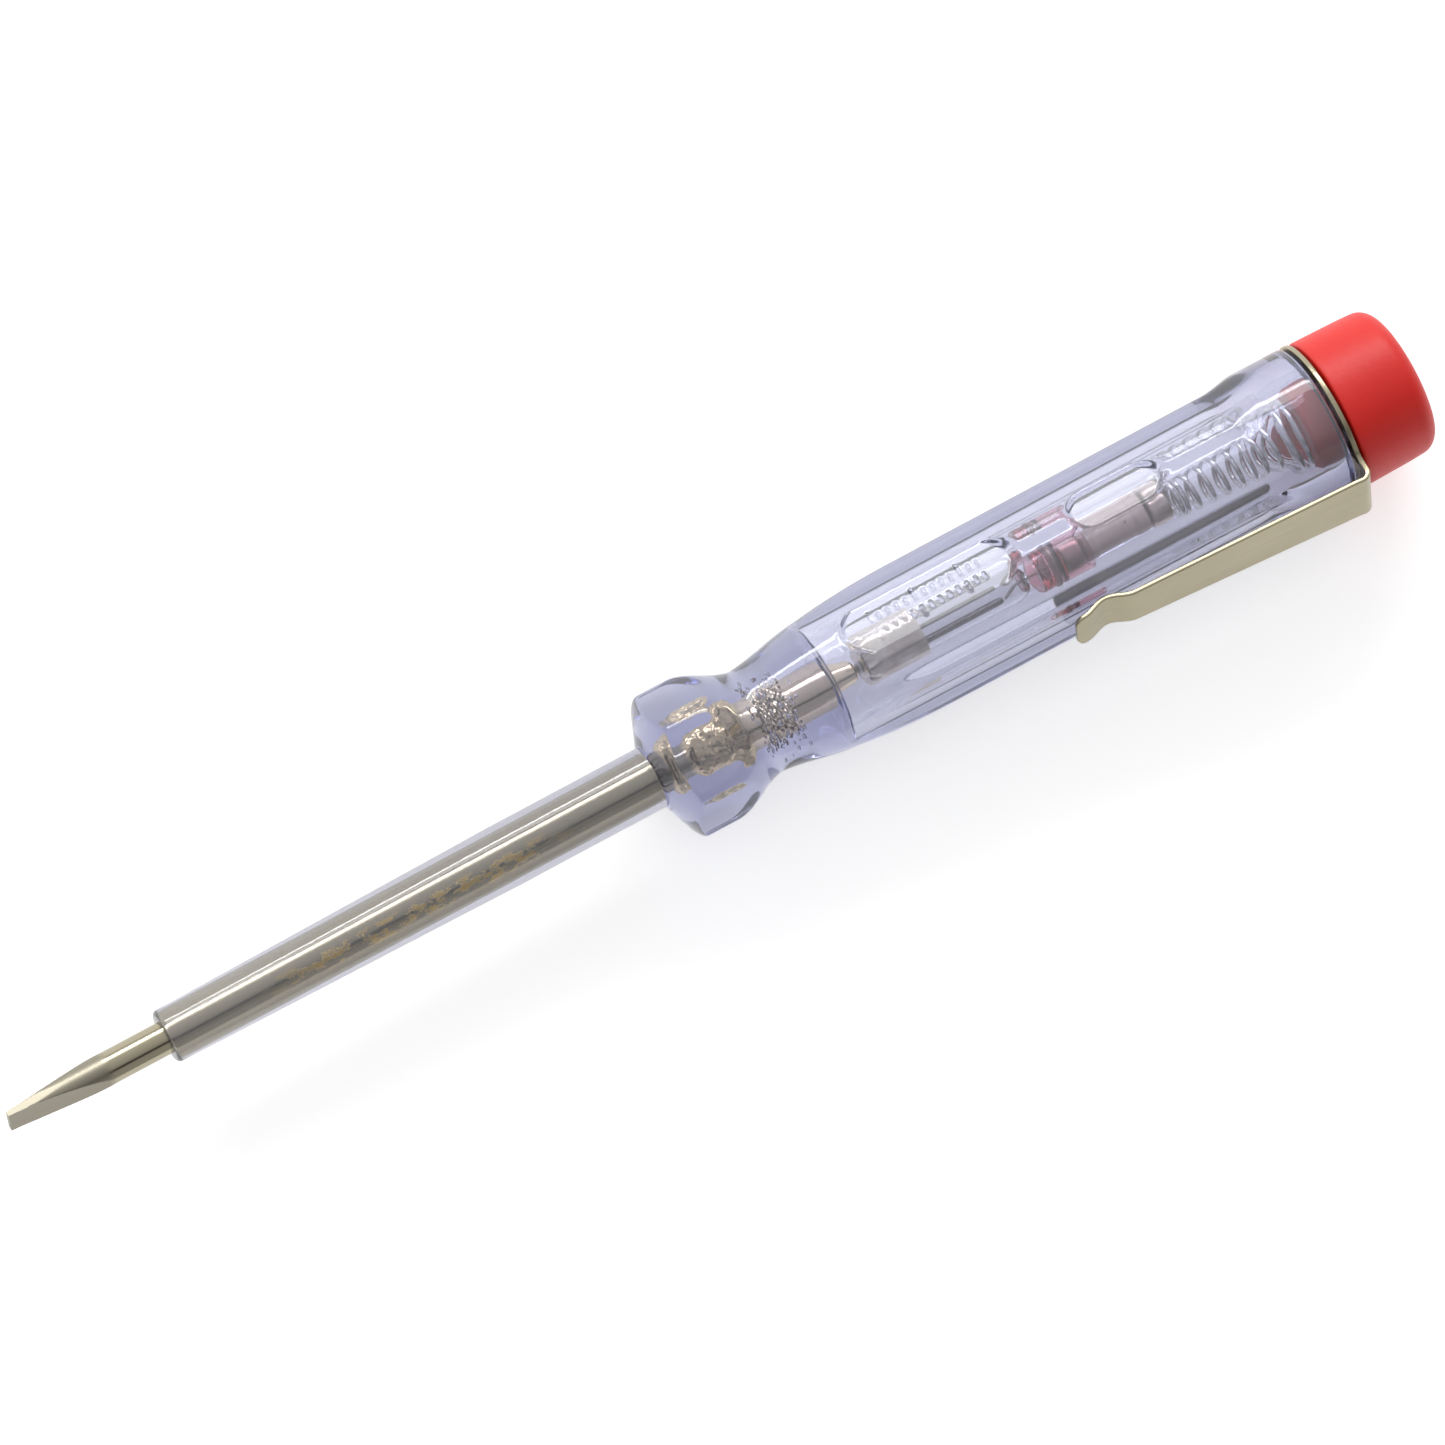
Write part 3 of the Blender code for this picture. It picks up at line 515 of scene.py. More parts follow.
# %% Outline of the handle
def turned_radius(x):
    """The turned form's radius at a station."""
    risen = (x - GUARD_START) / (GUARD_RIM_START - GUARD_START)
    cone = SLEEVE_RADIUS + (GUARD_RADIUS - SLEEVE_RADIUS) * risen
    if x < GUARD_RIM_END:
        return smooth_min(cone, GUARD_RADIUS, 0.9 * MM)
    if x < NECK_STATION:
        t = ease((NECK_STATION - x) / (NECK_STATION - GUARD_RIM_END), 0.3)
        return NECK_RADIUS + (GUARD_RADIUS - NECK_RADIUS) * t
    if x < CREASE_STATION:
        t = ease((CREASE_STATION - x) / (CREASE_STATION - NECK_STATION), 0.45)
        return CREASE_RADIUS + (NECK_RADIUS - CREASE_RADIUS) * t
    if x < BODY_FULL_STATION:
        t = (BODY_FULL_STATION - x) / (BODY_FULL_STATION - CREASE_STATION)
        return BODY_RADIUS - (BODY_RADIUS - CREASE_RADIUS) * t**2.2
    return BODY_RADIUS + (COLLAR_RADIUS - BODY_RADIUS) * ease((x - FLATS_END) / (COLLAR_START - FLATS_END))


FLAT_RUNOUT = (COLLAR_RADIUS - BODY_FLAT) / (4.0 * MM)


def flat_height(x):
    """How far a flat is from the axis. At the collar it rises and leaves an arch."""
    if x < NECK_STATION:
        return GUARD_FLAT
    return BODY_FLAT + max(0.0, x - FLATS_END) * FLAT_RUNOUT


print("neck is", round(turned_radius(NECK_STATION) / MM, 2), "mm in radius")

# %% [markdown]
# Both pads sit on one corner, on the side away from the clip. The long one carries two rows of
# fine raised gauge lines, and the short one is a plain window over the resistor.

# %% Pads and gauge lines
PAD_ANGLE = math.radians(30.0)
PAD_REACH = math.radians(40.0)  # beyond this angle from a pad's middle nothing is cut
PAD_EDGE = 0.16 * MM
GUARD_CORNER = 0.12 * MM
BODY_CORNER = 0.22 * MM
LABEL_PAD = (CREASE_STATION + 2.6 * MM, 16.2 * MM, 5.3 * MM, BODY_RADIUS - 1.22 * MM)
WINDOW_PAD = (CREASE_STATION + 25.3 * MM, 8.5 * MM, 3.7 * MM, BODY_RADIUS - 1.04 * MM)
WALL_SLOPE = 1.7
LINE_PITCH = 0.9 * MM
LINE_HALF_WIDTH = 0.16 * MM
LINE_HEIGHT = 0.14 * MM


def gauge_line(x, w, start, end):
    """The height of the raised lines at a place on a pad: two rows, every fifth line longer."""
    if not start < x < end:
        return 0.0
    number = round((x - start) / LINE_PITCH)
    off = abs(x - start - number * LINE_PITCH) / LINE_HALF_WIDTH
    reach = 1.7 * MM if number % 5 == 0 else 1.25 * MM
    inside = ease((reach - abs(w)) / (0.2 * MM)) * ease((abs(w) - 0.35 * MM) / (0.2 * MM))
    return LINE_HEIGHT * inside * ease(1.5 - off)


def pad_limit(x, w, pad, lined):
    """How far from the axis, along the pad's direction, the surface may be."""
    start, length, width, floor = pad
    half = width / 2
    beyond = max(abs(x - start - length / 2) - (length / 2 - half), 0.0)
    out = math.hypot(beyond, w) - half
    if out > 1.0 * MM:
        return None
    lines = gauge_line(x, w, start + half, start + length - half) if lined else 0.0
    return floor + lines + max(out, 0.0) * WALL_SLOPE


def cut_handle(shape):
    """Takes the flats and the pads off the turned form."""
    for vert in shape.verts:
        x, y, z = vert.co
        radius = math.hypot(y, z)
        if radius < CHAMBER_REAR + 0.1 * MM:
            continue
        angle = math.atan2(y, z)
        nearest = round(angle / SIXTH_TURN) * SIXTH_TURN
        softness = BODY_CORNER if x > NECK_STATION else GUARD_CORNER
        limit = smooth_min(radius, flat_height(x) / math.cos(angle - nearest), softness)
        turn = angle - PAD_ANGLE
        if abs(turn) < PAD_REACH:
            w = limit * math.sin(turn)
            for pad, lined in ((LABEL_PAD, True), (WINDOW_PAD, False)):
                height = pad_limit(x, w, pad, lined)
                if height is not None:
                    limit = smooth_min(limit, height / math.cos(turn), PAD_EDGE)
        if limit < radius:
            vert.co.y, vert.co.z = y * limit / radius, z * limit / radius


print("gauge lines in a row", round((LABEL_PAD[1] - LABEL_PAD[2]) / LINE_PITCH))

# %% [markdown]
# Round the rough band on the rod the melt could not follow the metal, and tiny bubbles stayed
# behind. A bubble is a hole in the plastic, so it is a small ball with its faces turned
# inside out, in the same mesh.

# %% Bubbles and the finished handle
def add_bubbles(shape, count, seed):
    """Small hollow balls round the rough band."""
    dice = random.Random(seed)
    for _ in range(count):
        size = dice.uniform(0.08, 0.24) * MM
        reach = ROD_RADIUS + size + dice.uniform(0.05, 1.3) * MM * dice.random()
        angle = dice.uniform(0, 2 * math.pi)
        station = GUARD_START + dice.uniform(9.2, 14.4) * MM
        ball = bmesh.ops.create_icosphere(shape, subdivisions=2, radius=size)["verts"]
        place = (station, reach * math.sin(angle), reach * math.cos(angle))
        bmesh.ops.translate(shape, verts=ball, vec=place)
        faces = {face for vert in ball for face in vert.link_faces}
        bmesh.ops.reverse_faces(shape, faces=list(faces))


def make_handle():
    outer = stops(GUARD_START, GUARD_RIM_START + 0.6 * MM, 0.16 * MM)
    outer += stops(outer[-1] + 0.16 * MM, CREASE_STATION, 0.42 * MM)
    outer += stops(CREASE_STATION, LABEL_PAD[0], 0.4 * MM)
    outer += stops(LABEL_PAD[0], LABEL_PAD[0] + LABEL_PAD[1], 0.125 * MM)
    outer += stops(LABEL_PAD[0] + LABEL_PAD[1], WINDOW_PAD[0] - 0.3 * MM, 0.4 * MM)
    window_end = WINDOW_PAD[0] + WINDOW_PAD[1] + 0.3 * MM
    outer += stops(WINDOW_PAD[0] - 0.3 * MM, window_end, 0.16 * MM)
    outer += stops(window_end, FLATS_END, 0.6 * MM)
    outer += stops(FLATS_END, COLLAR_START, 0.2 * MM)
    outer += stops(COLLAR_START, HANDLE_END - EDGE, 0.5 * MM)
    profile = [(GUARD_START, BORE)] + [(x, turned_radius(x)) for x in outer]
    profile += arc(HANDLE_END - EDGE, COLLAR_RADIUS - EDGE, EDGE, 90, 0, 4)
    profile += [(HANDLE_END, CHAMBER_REAR + 0.15 * MM), (HANDLE_END - 0.15 * MM, CHAMBER_REAR)]
    chamber = stops(CREASE_STATION + EDGE, HANDLE_END - 0.4 * MM, 1.5 * MM)
    for x in reversed(chamber):
        share = (x - CREASE_STATION) / (HANDLE_END - CREASE_STATION)
        profile.append((x, CHAMBER_FRONT + (CHAMBER_REAR - CHAMBER_FRONT) * share))
    profile += arc(CREASE_STATION + EDGE, CHAMBER_FRONT - EDGE, EDGE, 112.5, 180, 3)
    profile.append((CREASE_STATION, BORE))
    profile += [(WING_END, BORE), (WING_END, WING_BORE), (WING_START, WING_BORE), (WING_START, BORE)]
    shape = spun(profile, 240, closed=True)
    cut_handle(shape)
    add_bubbles(shape, 90, 11)
    piece = new_piece("clear_handle", shape, HANDLE_PLASTIC, 180)
    return hand_over(piece, "handle", "clear_plastic", "handle_body")


make_handle()

# %% [markdown]
# ## Blade
#
# The rod is round stock. Its tip is ground on both sides with a large wheel, which leaves
# slightly hollow faces, and its edges are taken in a little. As on the handle, each ground face
# is a limit: a vertex that stands proud of it is moved in, square to the face.

# %% Ground tip
TIP_THICKNESS = 0.5 * MM
TIP_WIDTH = 2.8 * MM
TIP_FLAT = 9.8 * MM
TIP_SIDE = 6.0 * MM
GRIND = Vector((0.0, -math.sin(SIXTH_TURN), math.cos(SIXTH_TURN)))


def grind_tip(vert):
    """Moves a vertex in to the ground faces of the tip."""
    t = max(vert.co.x, 0.0) / TIP_FLAT
    side = Vector((1, 0, 0)).cross(GRIND)
    reach = TIP_THICKNESS / 2 + (ROD_RADIUS - TIP_THICKNESS / 2) * t**1.35
    height = vert.co.dot(GRIND)
    if abs(height) > reach:
        vert.co -= GRIND * (height - math.copysign(reach, height))
    half = TIP_WIDTH / 2 + (ROD_RADIUS - TIP_WIDTH / 2) * ease(vert.co.x / TIP_SIDE)
    width = vert.co.dot(side)
    if abs(width) > half:
        vert.co -= side * (width - math.copysign(half, width))


print("tip is", round(TIP_WIDTH / MM, 1), "by", round(TIP_THICKNESS / MM, 1), "mm")

# %% [markdown]
# The wings and the rough band hold the rod in the plastic. Both are pressed into the round
# stock, so they move its vertices: out and in for the wings, and along crossed waves for the
# band. Noise adds the dents of the press and the torn crests.

# %% Wings and rough band
WING_HALF_SPAN = 2.05 * MM
WING_HALF_THICKNESS = 0.95 * MM
KNURL_START = GUARD_START + 10.0 * MM
KNURL_END = KNURL_START + 3.6 * MM


def squeeze_wings(vert):
    """Flattens the rod and spreads it to both sides, with the dents of the press."""
    inside = ease((vert.co.x - WING_START) / (0.9 * MM)) * ease((WING_END - vert.co.x) / (0.9 * MM))
    dent = noise.noise(vert.co * 1700) * 0.16 * MM + noise.noise(vert.co * 4000) * 0.06 * MM
    outward = Vector((0, vert.co.y, vert.co.z)).normalized()
    vert.co.y *= 1 + (WING_HALF_SPAN / ROD_RADIUS - 1) * inside
    vert.co.z *= 1 + (WING_HALF_THICKNESS / ROD_RADIUS - 1) * inside
    vert.co += outward * dent * inside


def roughen_band(vert):
    """Presses a crossed knurl with torn crests into the rod."""
    inside = ease((vert.co.x - KNURL_START) / (0.3 * MM)) * ease((KNURL_END - vert.co.x) / (0.3 * MM))
    angle = math.atan2(vert.co.y, vert.co.z) * 9
    wave = vert.co.x * 5200
    crest = abs(math.sin(angle + wave)) * abs(math.sin(angle - wave))
    torn = noise.noise(vert.co * 2600) * 0.14 * MM
    lift = inside * (0.13 * MM * crest + torn)
    outward = Vector((0, vert.co.y, vert.co.z)).normalized()
    vert.co += outward * lift


print("rough band is", round((KNURL_END - KNURL_START) / MM, 1), "mm long")

# %% [markdown]
# The rod is spun from stations that are close together only where it is worked. Each vertex
# then goes through the one tool that reaches its station.

# %% Blade
def make_blade():
    stations = [0.0] + stops(0.05 * MM, TIP_FLAT + 0.4 * MM, 0.15 * MM)
    stations += stops(TIP_FLAT + 0.4 * MM, WING_START, 4.0 * MM)
    stations += stops(WING_START, WING_END, 0.1 * MM) + stops(WING_END, KNURL_START, 0.5 * MM)
    stations += stops(KNURL_START, KNURL_END, 0.09 * MM) + [KNURL_END, rod_high.x - 0.25 * MM]
    profile = [(0.0, 0.0), (0.0, ROD_RADIUS - 0.5 * MM)]
    profile += [(x, ROD_RADIUS) for x in stations]
    profile += [(rod_high.x, ROD_RADIUS - 0.25 * MM), (rod_high.x, 0.0)]
    shape = spun(profile, 96)
    for vert in shape.verts:
        if vert.co.x < TIP_FLAT:
            grind_tip(vert)
        elif WING_START <= vert.co.x <= WING_END:
            squeeze_wings(vert)
        elif KNURL_START <= vert.co.x <= KNURL_END:
            roughen_band(vert)
    bmesh.ops.remove_doubles(shape, verts=shape.verts, dist=1e-7)
    return hand_over(new_piece("plated_blade", shape, NICKEL_ROD, 32), "handle", "plated_steel", "blade_rod")


make_blade()

# %% [markdown]
# Torn crumbs of plate drift a little way into the melt round the rough band.

# %% Crumbs
def make_crumbs(count, seed):
    dice = random.Random(seed)
    shape = bmesh.new()
    for _ in range(count):
        size = dice.uniform(0.05, 0.15) * MM
        reach = ROD_RADIUS + dice.uniform(0.02, 0.75) * MM
        angle = dice.uniform(0, 2 * math.pi)
        grain = bmesh.ops.create_icosphere(shape, subdivisions=1, radius=size)["verts"]
        for vert in grain:
            vert.co.x *= dice.uniform(0.6, 1.8)
        station = dice.uniform(KNURL_START - 0.8 * MM, KNURL_END + 0.3 * MM)
        place = (station, reach * math.sin(angle), reach * math.cos(angle))
        bmesh.ops.translate(shape, verts=grain, vec=place)
    bmesh.ops.recalc_face_normals(shape, faces=shape.faces)
    return hand_over(new_piece("plate_crumbs", shape, DISC_METAL, 180), "handle", "plated_steel")


make_crumbs(70, 5)

# %% [markdown]
# ## Sleeve
#
# Clear insulation is moulded on the rod. It is slightly narrower in front and has a soft front
# edge. As in the handle, its bore is just inside the metal, so no false air gap shows.

# %% Sleeve
def make_sleeve():
    straight = sleeve_high.x - 14.5 * MM
    front = SLEEVE_RADIUS - 0.41 * MM
    edge = 0.4 * MM
    profile = [(sleeve_low.x, BORE)]
    profile += arc(sleeve_low.x + edge, front - edge, edge, 180, 90, 5)
    for x in stops(sleeve_low.x + 2 * MM, straight, 4 * MM):
        share = (x - sleeve_low.x) / (straight - sleeve_low.x)
        profile.append((x, front + (SLEEVE_RADIUS - front) * share))
    end = sleeve_high.x + 0.2 * MM
    profile += [(straight, SLEEVE_RADIUS), (end, SLEEVE_RADIUS), (end, BORE)]
    shape = spun(profile, 96, closed=True)
    piece = new_piece("blade_insulation", shape, SLEEVE_PLASTIC)
    return hand_over(piece, "handle", "clear_plastic", "blade_sleeve")


make_sleeve()

# %% [markdown]
# ## Neon lamp
#
# A glass tube with two grey electrodes sits in a thin metal cap. The cap's front rim is crimped
# in a ring of dents. The tube is a turned wall with a drawn-off, rounded end.

# %% Lamp cap and solder
def make_lamp_cap():
    start, end, radius = ferrule_low.x, ferrule_high.x, ferrule_high.z
    wall = 0.2 * MM
    profile = [(start + wall, 0.0), (start + wall, radius - 0.5 * MM), (start + 0.5 * MM, radius - wall)]
    profile += [(end, radius - wall), (end, radius)]
    profile += [(x, radius) for x in reversed(stops(start + 0.45 * MM, end - 0.1 * MM, 0.3 * MM))]
    profile += [(start + 0.2 * MM, radius - 0.08 * MM), (start + 0.04 * MM, radius - 0.28 * MM)]
    profile += [(start, radius - 0.5 * MM), (start, 0.0)]
    shape = spun(profile, 96)
    for vert in shape.verts:
        outward = Vector((0, vert.co.y, vert.co.z))
        if outward.length > radius - 0.7 * MM:
            dent = max(0.0, math.cos(math.atan2(vert.co.y, vert.co.z) * 9)) ** 2
            near = ease(1 - (vert.co.x - start) / (1.1 * MM))
            vert.co -= outward.normalized() * 0.42 * MM * dent * near
    return hand_over(new_piece("lamp_cap", shape, LAMP_CAP, 40), "handle", "contact_metal", "lamp_ferrule")


def make_solder_bump():
    low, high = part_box("lamp_solder_dot")
    tall = high.x - low.x
    profile = [(high.x, 0.0)]
    for i in range(9):
        turn = math.radians(11.25 * i)
        profile.append((high.x - tall * math.sin(turn), high.z * math.cos(turn)))
    shape = spun(profile, 40)
    for vert in shape.verts:
        if low.x + 0.03 * MM < vert.co.x < high.x - 0.03 * MM:
            vert.co *= 1 + 0.0004 * noise.noise(vert.co * 1800)
    return hand_over(new_piece("solder_bump", shape, SOLDER), "handle", "solder", "lamp_solder_dot")


make_lamp_cap()
make_solder_bump()

# %% [markdown]
# The tube is drawn glass, so it is a wall with a thickness and not a filled rod: light bends
# twice in it. The bead, the electrodes and the other solid bars only differ in size, so one
# table lists them and one loop makes them.

# %% Tube, bead and electrodes
def turned_piece(name, node, material, slot, profile, steps=48, side=0.0):
    """A small turned piece, moved off the axis along Y if it stands to one side."""
    shape = spun(profile, steps)
    bmesh.ops.translate(shape, verts=shape.verts, vec=(0, side, 0))
    return hand_over(new_piece(name, shape, material, 40), "handle", slot, node)


def make_tube():
    low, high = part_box("lamp_glass")
    radius, wall, tip = high.z, 0.45 * MM, 1.5 * MM
    middle = high.x - 0.3 * MM - tip
    outside = arc(middle, radius - tip, tip, 90, 18, 8)
    outside += [(high.x - 0.1 * MM, 0.75 * MM), (high.x, 0.5 * MM), (high.x, 0.3 * MM)]
    inside = [(high.x - 0.75 * MM, 0.3 * MM)] + arc(middle, radius - tip, tip - wall, 18, 90, 8)
    profile = [(low.x, radius)] + outside + inside + [(low.x, radius - wall)]
    shape = spun(profile, 72, closed=True)
    return hand_over(new_piece("neon_tube", shape, TUBE_GLASS, 60), "handle", "lamp_glass", "lamp_glass")


def rounded_bar(node, edge, bulge=0.0, side=0.0):
    """The profile of a solid bar with rounded ends that fills a node's box."""
    low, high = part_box(node)
    radius = (high.z - low.z) / 2
    profile = [(low.x, 0.0)] + arc(low.x + edge, radius - edge, edge, 180, 90, 4)
    if bulge:
        profile += [(x, radius - bulge) for x in stops(low.x + 2 * edge, high.x - edge, 0.5 * MM)]
    return profile + arc(high.x - edge, radius - edge, edge, 90, 0, 4) + [(high.x, 0.0)]


make_tube()
ELECTRODE_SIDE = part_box("lamp_electrode_left")[1].y - (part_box("lamp_electrode_left")[1].z)
BARS = (
    ("neon_bead", "lamp_stem", TUBE_GLASS, "lamp_glass", 0.5 * MM, 0.0),
    ("neon_electrode_left", "lamp_electrode_left", ELECTRODE, "electrode", 0.35 * MM, ELECTRODE_SIDE),
    ("neon_electrode_right", "lamp_electrode_right", ELECTRODE, "electrode", 0.35 * MM, -ELECTRODE_SIDE),
    ("front_lead", "lamp_lead_front", LEAD_WIRE, "lead_wire", 0.06 * MM, 0.0),
    ("pressure_disc", "contact_disc", DISC_METAL, "contact_metal", 0.1 * MM, 0.0),
    ("resistor_front_cap", "resistor_cap_front", RESISTOR_CAP, "resistor_cap", 0.25 * MM, 0.0),
    ("resistor_rear_cap", "resistor_cap_rear", RESISTOR_CAP, "resistor_cap", 0.25 * MM, 0.0),
)
for name, node, material, slot, edge, side in BARS:
    turned_piece(name, node, material, slot, rounded_bar(node, edge), 48, side)

# %% [markdown]
# ## Seat ring, resistor and its holder
#
# Two clear red mouldings centre the disc between lamp and resistor. The resistor's body is a
# little thinner in the middle, where the lacquer is over the bare ceramic.

# %% Seat ring, holder and resistor
def make_red_pieces():
    low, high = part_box("lamp_seat_ring")
    ring = [(low.x, 1.7 * MM), (low.x, high.z - 0.15 * MM), (low.x + 0.15 * MM, high.z)]
    ring += [(high.x - 0.15 * MM, high.z), (high.x, high.z - 0.15 * MM), (high.x, 1.7 * MM)]
    shape = spun(ring, 64, closed=True)
    piece = new_piece("lamp_seat", shape, RED_PLASTIC_CLEAR, 40)
    hand_over(piece, "handle", "clear_red_plastic", "lamp_seat_ring")
    low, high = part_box("resistor_holder")
    wall = 0.4 * MM
    cup = [(low.x, 0.0), (low.x, high.z - 0.2 * MM), (low.x + 0.2 * MM, high.z), (high.x - 0.1 * MM, high.z)]
    cup += [(high.x, high.z - 0.1 * MM), (high.x, high.z - wall)]
    cup += [(low.x + wall, high.z - wall), (low.x + wall, 0.0)]
    shape = spun(cup, 64)
    piece = new_piece("resistor_cup", shape, RED_PLASTIC_CLEAR, 40)
    hand_over(piece, "handle", "clear_red_plastic", "resistor_holder")


def make_resistor():
    low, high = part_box("resistor_body")
    length, edge = high.x - low.x, 0.4 * MM
    profile = [(low.x, 0.0), (low.x, high.z - edge), (low.x + 0.12 * MM, high.z - 0.12 * MM)]
    for x in stops(low.x + edge, high.x - edge, 0.15 * MM) + [high.x - edge]:
        t = (x - low.x) / length
        waist = ease((t - 0.16) / 0.08) * ease((0.84 - t) / 0.08)
        profile.append((x, high.z - 0.14 * MM * waist))
    profile += [(high.x - 0.12 * MM, high.z - 0.12 * MM), (high.x, high.z - edge), (high.x, 0.0)]
    turned_piece("series_resistor", "resistor_body", RESISTOR_LACQUER, "resistor", profile, 64)


make_red_pieces()
make_resistor()

# %% [markdown]
# ## Wires
#
# A wire is a curve with a round section. It is turned into a mesh at the end.

# %% Wire and rear lead
def wire_mesh(name, points, radius, material, rounds=4):
    curve = bpy.data.curves.new(name, "CURVE")
    curve.dimensions = "3D"
    curve.bevel_depth = radius
    curve.bevel_resolution = rounds
    curve.use_fill_caps = True
    line = curve.splines.new("POLY")
    line.points.add(len(points) - 1)
    for point, place in zip(line.points, points):
        point.co = (*place, 1.0)
    temporary = bpy.data.objects.new(name + "_curve", curve)
    bpy.context.scene.collection.objects.link(temporary)
    drawn = bpy.data.meshes.new_from_object(temporary.evaluated_get(bpy.context.evaluated_depsgraph_get()))
    bpy.data.objects.remove(temporary)
    shape = bmesh.new()
    shape.from_mesh(drawn)
    bmesh.ops.remove_doubles(shape, verts=shape.verts, dist=1e-7)
    bmesh.ops.recalc_face_normals(shape, faces=shape.faces)
    return new_piece(name, shape, material, 60)


def make_rear_lead():
    low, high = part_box("lamp_lead_rear")
    radius = 0.22 * MM
    points = []
    for i in range(25):
        t = i / 24
        swing = ease(t * (high.x - low.x) / (1.6 * MM))
        points.append((low.x + (high.x - low.x) * t, -ELECTRODE_SIDE * (1 - swing), 0.0))
    hand_over(wire_mesh("rear_lead", points, radius, LEAD_WIRE), "handle", "lead_wire", "lamp_lead_rear")


make_rear_lead()

# %% [markdown]
# The spring is wound on a cone. It starts with close coils on the resistor's cap, opens out,
# and ends with a wider seat coil under the red cap's plug.

# %% Spring
SPRING_WIRE_RADIUS = 0.24 * MM
CLOSE_COILS = 2.0
OPEN_COILS = 8.0
SEAT_COILS = 1.0


def spring_points(steps=36):
    """Close coils at the resistor, then open and widening ones."""
    low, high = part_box("contact_spring")
    start, end = low.x + SPRING_WIRE_RADIUS, high.x - SPRING_WIRE_RADIUS
    front, rear = 2.55 * MM, 3.35 * MM
    turns = CLOSE_COILS + OPEN_COILS + SEAT_COILS
    close_rise = CLOSE_COILS * 2.24 * SPRING_WIRE_RADIUS
    count = int(turns * steps)
    points = []
    for i in range(count + 1):
        turn = turns * i / count
        rise = close_rise * turn / CLOSE_COILS
        if turn > CLOSE_COILS:
            t = (turn - CLOSE_COILS) / (turns - CLOSE_COILS)
            rise = close_rise + (end - start - close_rise) * (t + 0.12 * (t - t**8))
        radius = front + (rear - front) * rise / (end - start)
        angle = 2 * math.pi * turn
        points.append((start + rise, radius * math.sin(angle), -radius * math.cos(angle)))
    return points


def make_spring():
    spring = wire_mesh("coil_spring", spring_points(), SPRING_WIRE_RADIUS, SPRING_WIRE)
    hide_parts("contact_spring")
    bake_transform(spring)
    return spring


make_spring()

# %% [markdown]
# ## Red cap
#
# A turned moulding: a plug that pushes into the handle, a flange that meets the clip's ring,
# plain sides with a little draft, and a generous round at the end.

# %% Red cap
def make_cap():
    start = ring_high.x + 0.3 * MM
    end, front = cap_high.x, cap_high.z
    rear = front - 0.17 * MM
    edge, dome = 1.6 * MM, 0.35 * MM
    profile = [(end - dome * (t / 8) ** 2, (rear - edge) * t / 8) for t in range(8)]
    profile += arc(end - dome - edge, rear - edge, edge, 12, 90, 12)
    sides = stops(start + 0.3 * MM, end - dome - edge, 0.6 * MM)
    for x in reversed(sides[:-1]):
        share = (x - start) / (end - start)
        profile.append((x, front + (rear - front) * share))
    profile += [(start + 0.1 * MM, front - 0.06 * MM), (start, front - 0.2 * MM)]
    plug = CHAMBER_REAR - 0.3 * MM
    plug_end = cap_low.x
    profile += [(start, plug + 0.1 * MM), (start - 0.1 * MM, plug), (plug_end + 0.3 * MM, plug)]
    profile += [(plug_end, plug - 0.3 * MM), (plug_end, 2.3 * MM), (plug_end + 0.1 * MM, 2.2 * MM)]
    profile += [(plug_end + 1.2 * MM, 2.2 * MM), (plug_end + 1.2 * MM, 0.0)]
    shape = spun(profile, 144)
    return hand_over(new_piece("red_end_cap", shape, CAP_PLASTIC, 40), "cap", "red_plastic", "end_cap")


make_cap()

# %% [markdown]
# ## Pocket clip
#
# Ring, tab and arm are one stamping. The arm is worked out first as rows of numbers: how far
# along the tool each row lies, how high above the axis, and how wide it is.

# %% Arm of the clip
SHEET = 0.45 * MM
CLIP_OUT = Vector((0.0, -math.sin(SIXTH_TURN), math.cos(SIXTH_TURN)))
CLIP_SIDE = Vector((1, 0, 0)).cross(CLIP_OUT)
BEND_HEIGHT = COLLAR_RADIUS + 1.64 * MM - SHEET / 2  # the sheet's middle
BEND_ROUND = 0.75 * MM
BEND_HALF = 3.0 * MM
TIP_HALF = 2.2 * MM
CLIP_LENGTH = 29.3 * MM
DENT_CENTRE = 3.3 * MM
DENT_HALF = 2.6 * MM
DENT_DEPTH = 0.75 * MM
COLUMNS = 12
SHEET_STATION = (ring_low.x + ring_high.x) / 2


def arm_height(from_tip):
    """The sheet's middle above the axis, at a distance from the arm's tip."""
    line = BODY_FLAT + 0.3 * MM + SHEET / 2 + DENT_DEPTH
    straight = line + (BEND_HEIGHT - line) * (from_tip - DENT_CENTRE) / (CLIP_LENGTH - DENT_CENTRE)
    off = (from_tip - DENT_CENTRE) / DENT_HALF
    dent = 0.5 + 0.5 * math.cos(math.pi * off) if abs(off) < 1 else 0.0
    return straight - DENT_DEPTH * dent


def arm_path():
    """(station, height) of each row of the arm, from the tab's end to the tip."""
    rows = arc(SHEET_STATION - BEND_ROUND, BEND_HEIGHT - BEND_ROUND, BEND_ROUND, 11.25, 90, 7)
    tip = ring_high.x - CLIP_LENGTH
    along_arm = stops(0.0, CLIP_LENGTH - SHEET / 2 - BEND_ROUND - 0.3 * MM, 0.35 * MM)
    rows += [(tip + d, arm_height(d)) for d in reversed(along_arm)]
    return rows


def arm_half(from_tip):
    """Half the arm's width: a slow taper, then rounded corners."""
    half = TIP_HALF + (BEND_HALF - TIP_HALF) * from_tip / CLIP_LENGTH
    corner = 0.9 * MM
    if from_tip < corner:
        half -= corner - math.sqrt(max(corner**2 - (corner - from_tip) ** 2, 0.0))
    return half


print("rows along the arm", len(arm_path()))

